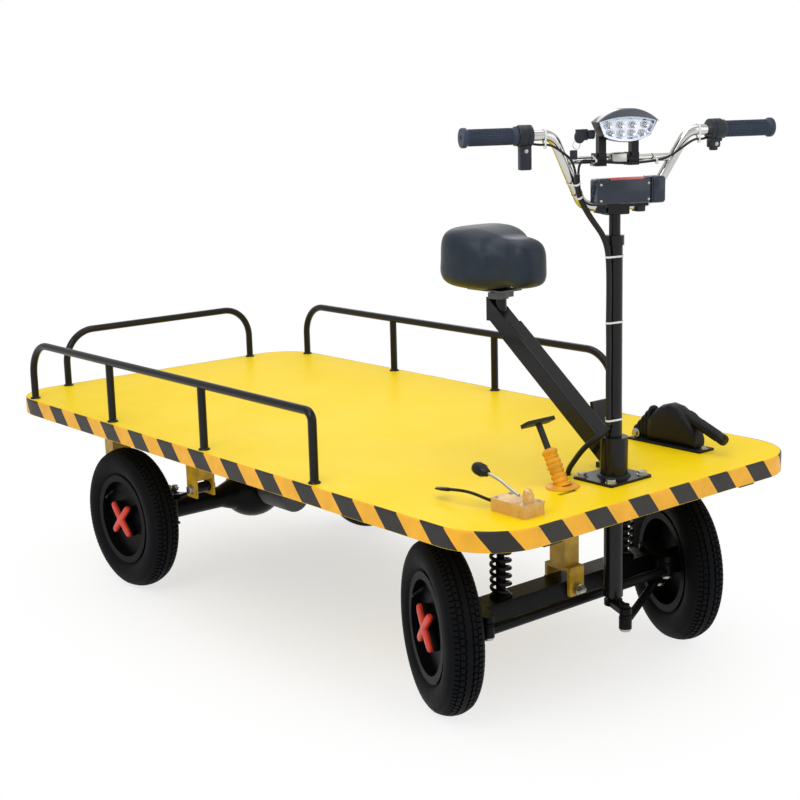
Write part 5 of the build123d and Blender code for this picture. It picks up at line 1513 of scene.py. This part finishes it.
class TRUCK_OT_finishes(bpy.types.Operator):
    """Gives every CAD piece its finish"""
    bl_idname = "truck.finishes"
    bl_label = "Finishes"

    def execute(self, context):
        groups.update({"Patches": noise_mask_group(), "Relief": relief_group(), "Grain": grain_group(),
                       "Dust": dust_group()})
        trees.update({"Ring of copies": ring_tree(), "Row of copies": row_tree(), "Copies at points": scatter_tree(),
                      "Coil": coil_tree()})
        build_surfaces()
        for finish, nodes in node_surfaces.items():
            for node in nodes:
                mesh_object = frame["nodes"][node]
                if not mesh_object.material_slots:
                    mesh_object.data.materials.append(surfaces[finish])
                for slot in mesh_object.material_slots:
                    slot.material = surfaces[finish]
        return {"FINISHED"}


# Stage
camera_place = Vector((2.91268, -2.31767, 1.30888))
camera_yaw, camera_pitch, camera_roll = radians(140.18), radians(11.85), radians(-1.5)
camera_lens = 66.71


def camera_matrix():
    """The photograph's viewpoint."""
    level = cos(camera_pitch)
    forward = Vector((level * cos(camera_yaw), level * sin(camera_yaw), -sin(camera_pitch)))
    right = forward.cross(Vector((0, 0, 1))).normalized()
    up = right.cross(forward)
    c, s = cos(camera_roll), sin(camera_roll)
    tilted_right = right * c + up * s
    tilted_up = up * c - right * s
    turn = Matrix((tilted_right, tilted_up, -forward)).transposed()
    return Matrix.Translation(camera_place) @ turn.to_4x4()


class TRUCK_OT_stage(bpy.types.Operator):
    """Floor, backdrop, lamps and camera"""
    bl_idname = "truck.stage"
    bl_label = "Stage"

    def execute(self, context):
        scene = context.scene
        scene.view_settings.view_transform = "Standard"
        camera = hosted("camera", bpy.data.cameras.new("camera"))
        camera.data.lens = camera_lens
        camera.data.sensor_width = 36
        camera.data.clip_end = 100
        camera.matrix_world = camera_matrix()
        scene.camera = camera
        self.add_world(scene)
        self.add_floor()
        studio = scene.truck_studio
        for name, place, target, size, power in (
                ("key", (1.6, -3.4, 3.6), (0.2, 0, 0.4), 2.6, studio.key_power),
                ("fill", (4.2, 1.4, 2.2), (0.3, 0, 0.4), 3.0, studio.fill_power),
                ("back", (-3.2, 2.6, 3.0), (-0.2, 0, 0.5), 2.4, studio.fill_power),
                ("top", (0.0, 0.0, 4.2), (0, 0, 0), 3.2, studio.key_power * 0.7)):
            light = bpy.data.lights.new(name, "AREA")
            light.energy = power
            light.size = size
            lamp = hosted(name, light)
            aim = (Vector(target) - Vector(place)).to_track_quat("-Z", "Y").to_matrix().to_4x4()
            lamp.matrix_world = Matrix.Translation(place) @ aim
        return {"FINISHED"}

    def add_world(self, scene):
        """An even sky that shows white behind the truck."""
        world = bpy.data.worlds.new("studio")
        world.use_nodes = True
        scene.world = world
        tree = world.node_tree
        background = tree.nodes["Background"]
        path = add_node(tree, "ShaderNodeLightPath")
        seen = calculated(tree, "MAXIMUM", path.outputs["Is Camera Ray"], path.outputs["Is Transmission Ray"])
        sky = scene.truck_studio.sky
        strength = calculated(tree, "ADD", calculated(tree, "MULTIPLY", seen, 1 - sky), sky)
        background.inputs["Color"].default_value = (1, 1, 1, 1)
        tree.links.new(strength, background.inputs["Strength"])

    def add_floor(self):
        """A pale floor that keeps the truck's shadow and fades to plain white away from it."""
        material = bpy.data.materials.new("Pale floor")
        material.use_nodes = True
        tree = material.node_tree
        shader = tree.nodes["Principled BSDF"]
        shader.inputs["Roughness"].default_value = 0.95
        shader.inputs["Specular IOR Level"].default_value = 0.0
        grain = mixed(tree, object_noise(tree, 3.0), (0.94, 0.94, 0.94), (0.96, 0.96, 0.96))
        tree.links.new(grain, shader.inputs["Base Color"])
        place = add_node(tree, "ShaderNodeTexCoord").outputs["Object"]
        spread = add_node(tree, "ShaderNodeVectorMath", {0: place, 1: (0.62, 1.0, 0.0)}, operation="MULTIPLY")
        far = add_node(tree, "ShaderNodeVectorMath", {0: spread.outputs[0]}, operation="LENGTH").outputs["Value"]
        fade = add_node(tree, "ShaderNodeMapRange", {"Value": far, "From Min": 0.2, "From Max": 0.95, "To Min": 0.58},
                        interpolation_type="SMOOTHSTEP").outputs["Result"]
        white = add_node(tree, "ShaderNodeEmission")
        blend = add_node(tree, "ShaderNodeMixShader", {0: fade, 1: shader.outputs[0], 2: white.outputs[0]})
        tree.links.new(blend.outputs[0], tree.nodes["Material Output"].inputs["Surface"])
        reach = 40
        mesh = bpy.data.meshes.new("floor")
        mesh.from_pydata([(-reach, -reach, 0), (reach, -reach, 0), (reach, reach, 0), (-reach, reach, 0)], [],
                         [(0, 1, 2, 3)])
        mesh.materials.append(material)
        floor = hosted("floor", mesh)


operators = (TRUCK_OT_stage, TRUCK_OT_finishes, TRUCK_OT_cables, TRUCK_OT_tape, TRUCK_OT_tyres, TRUCK_OT_springs,
             TRUCK_OT_saddle, TRUCK_OT_bar, TRUCK_OT_lamp, TRUCK_OT_display, TRUCK_OT_ties, TRUCK_OT_bolts,
             TRUCK_OT_controls)


class TRUCK_PT_panel(bpy.types.Panel):
    """Lists the truck's builders"""
    bl_idname = "TRUCK_PT_panel"
    bl_label = "Platform truck"
    bl_space_type = "VIEW_3D"
    bl_region_type = "UI"
    bl_category = "Truck"

    def draw(self, context):
        for operator in operators:
            self.layout.operator(operator.bl_idname)
        for name, group in settings_groups.items():
            for key in group.__annotations__:
                self.layout.prop(getattr(context.scene, name), key)


def register():
    """Registers the settings, the operators and the panel."""
    for name, group in settings_groups.items():
        bpy.utils.register_class(group)
        setattr(bpy.types.Scene, name, bpy.props.PointerProperty(type=group))
    for one in (*operators, TRUCK_PT_panel):
        bpy.utils.register_class(one)


def unregister():
    """Takes them all out again."""
    for one in (*operators, TRUCK_PT_panel):
        bpy.utils.unregister_class(one)
    for name, group in settings_groups.items():
        delattr(bpy.types.Scene, name)
        bpy.utils.unregister_class(group)


def main():
    """Builds the whole truck."""
    register()
    for operator in operators:
        group, name = operator.bl_idname.split(".")
        getattr(getattr(bpy.ops, group), name)()
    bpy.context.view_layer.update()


if __name__ == "__main__":
    main()
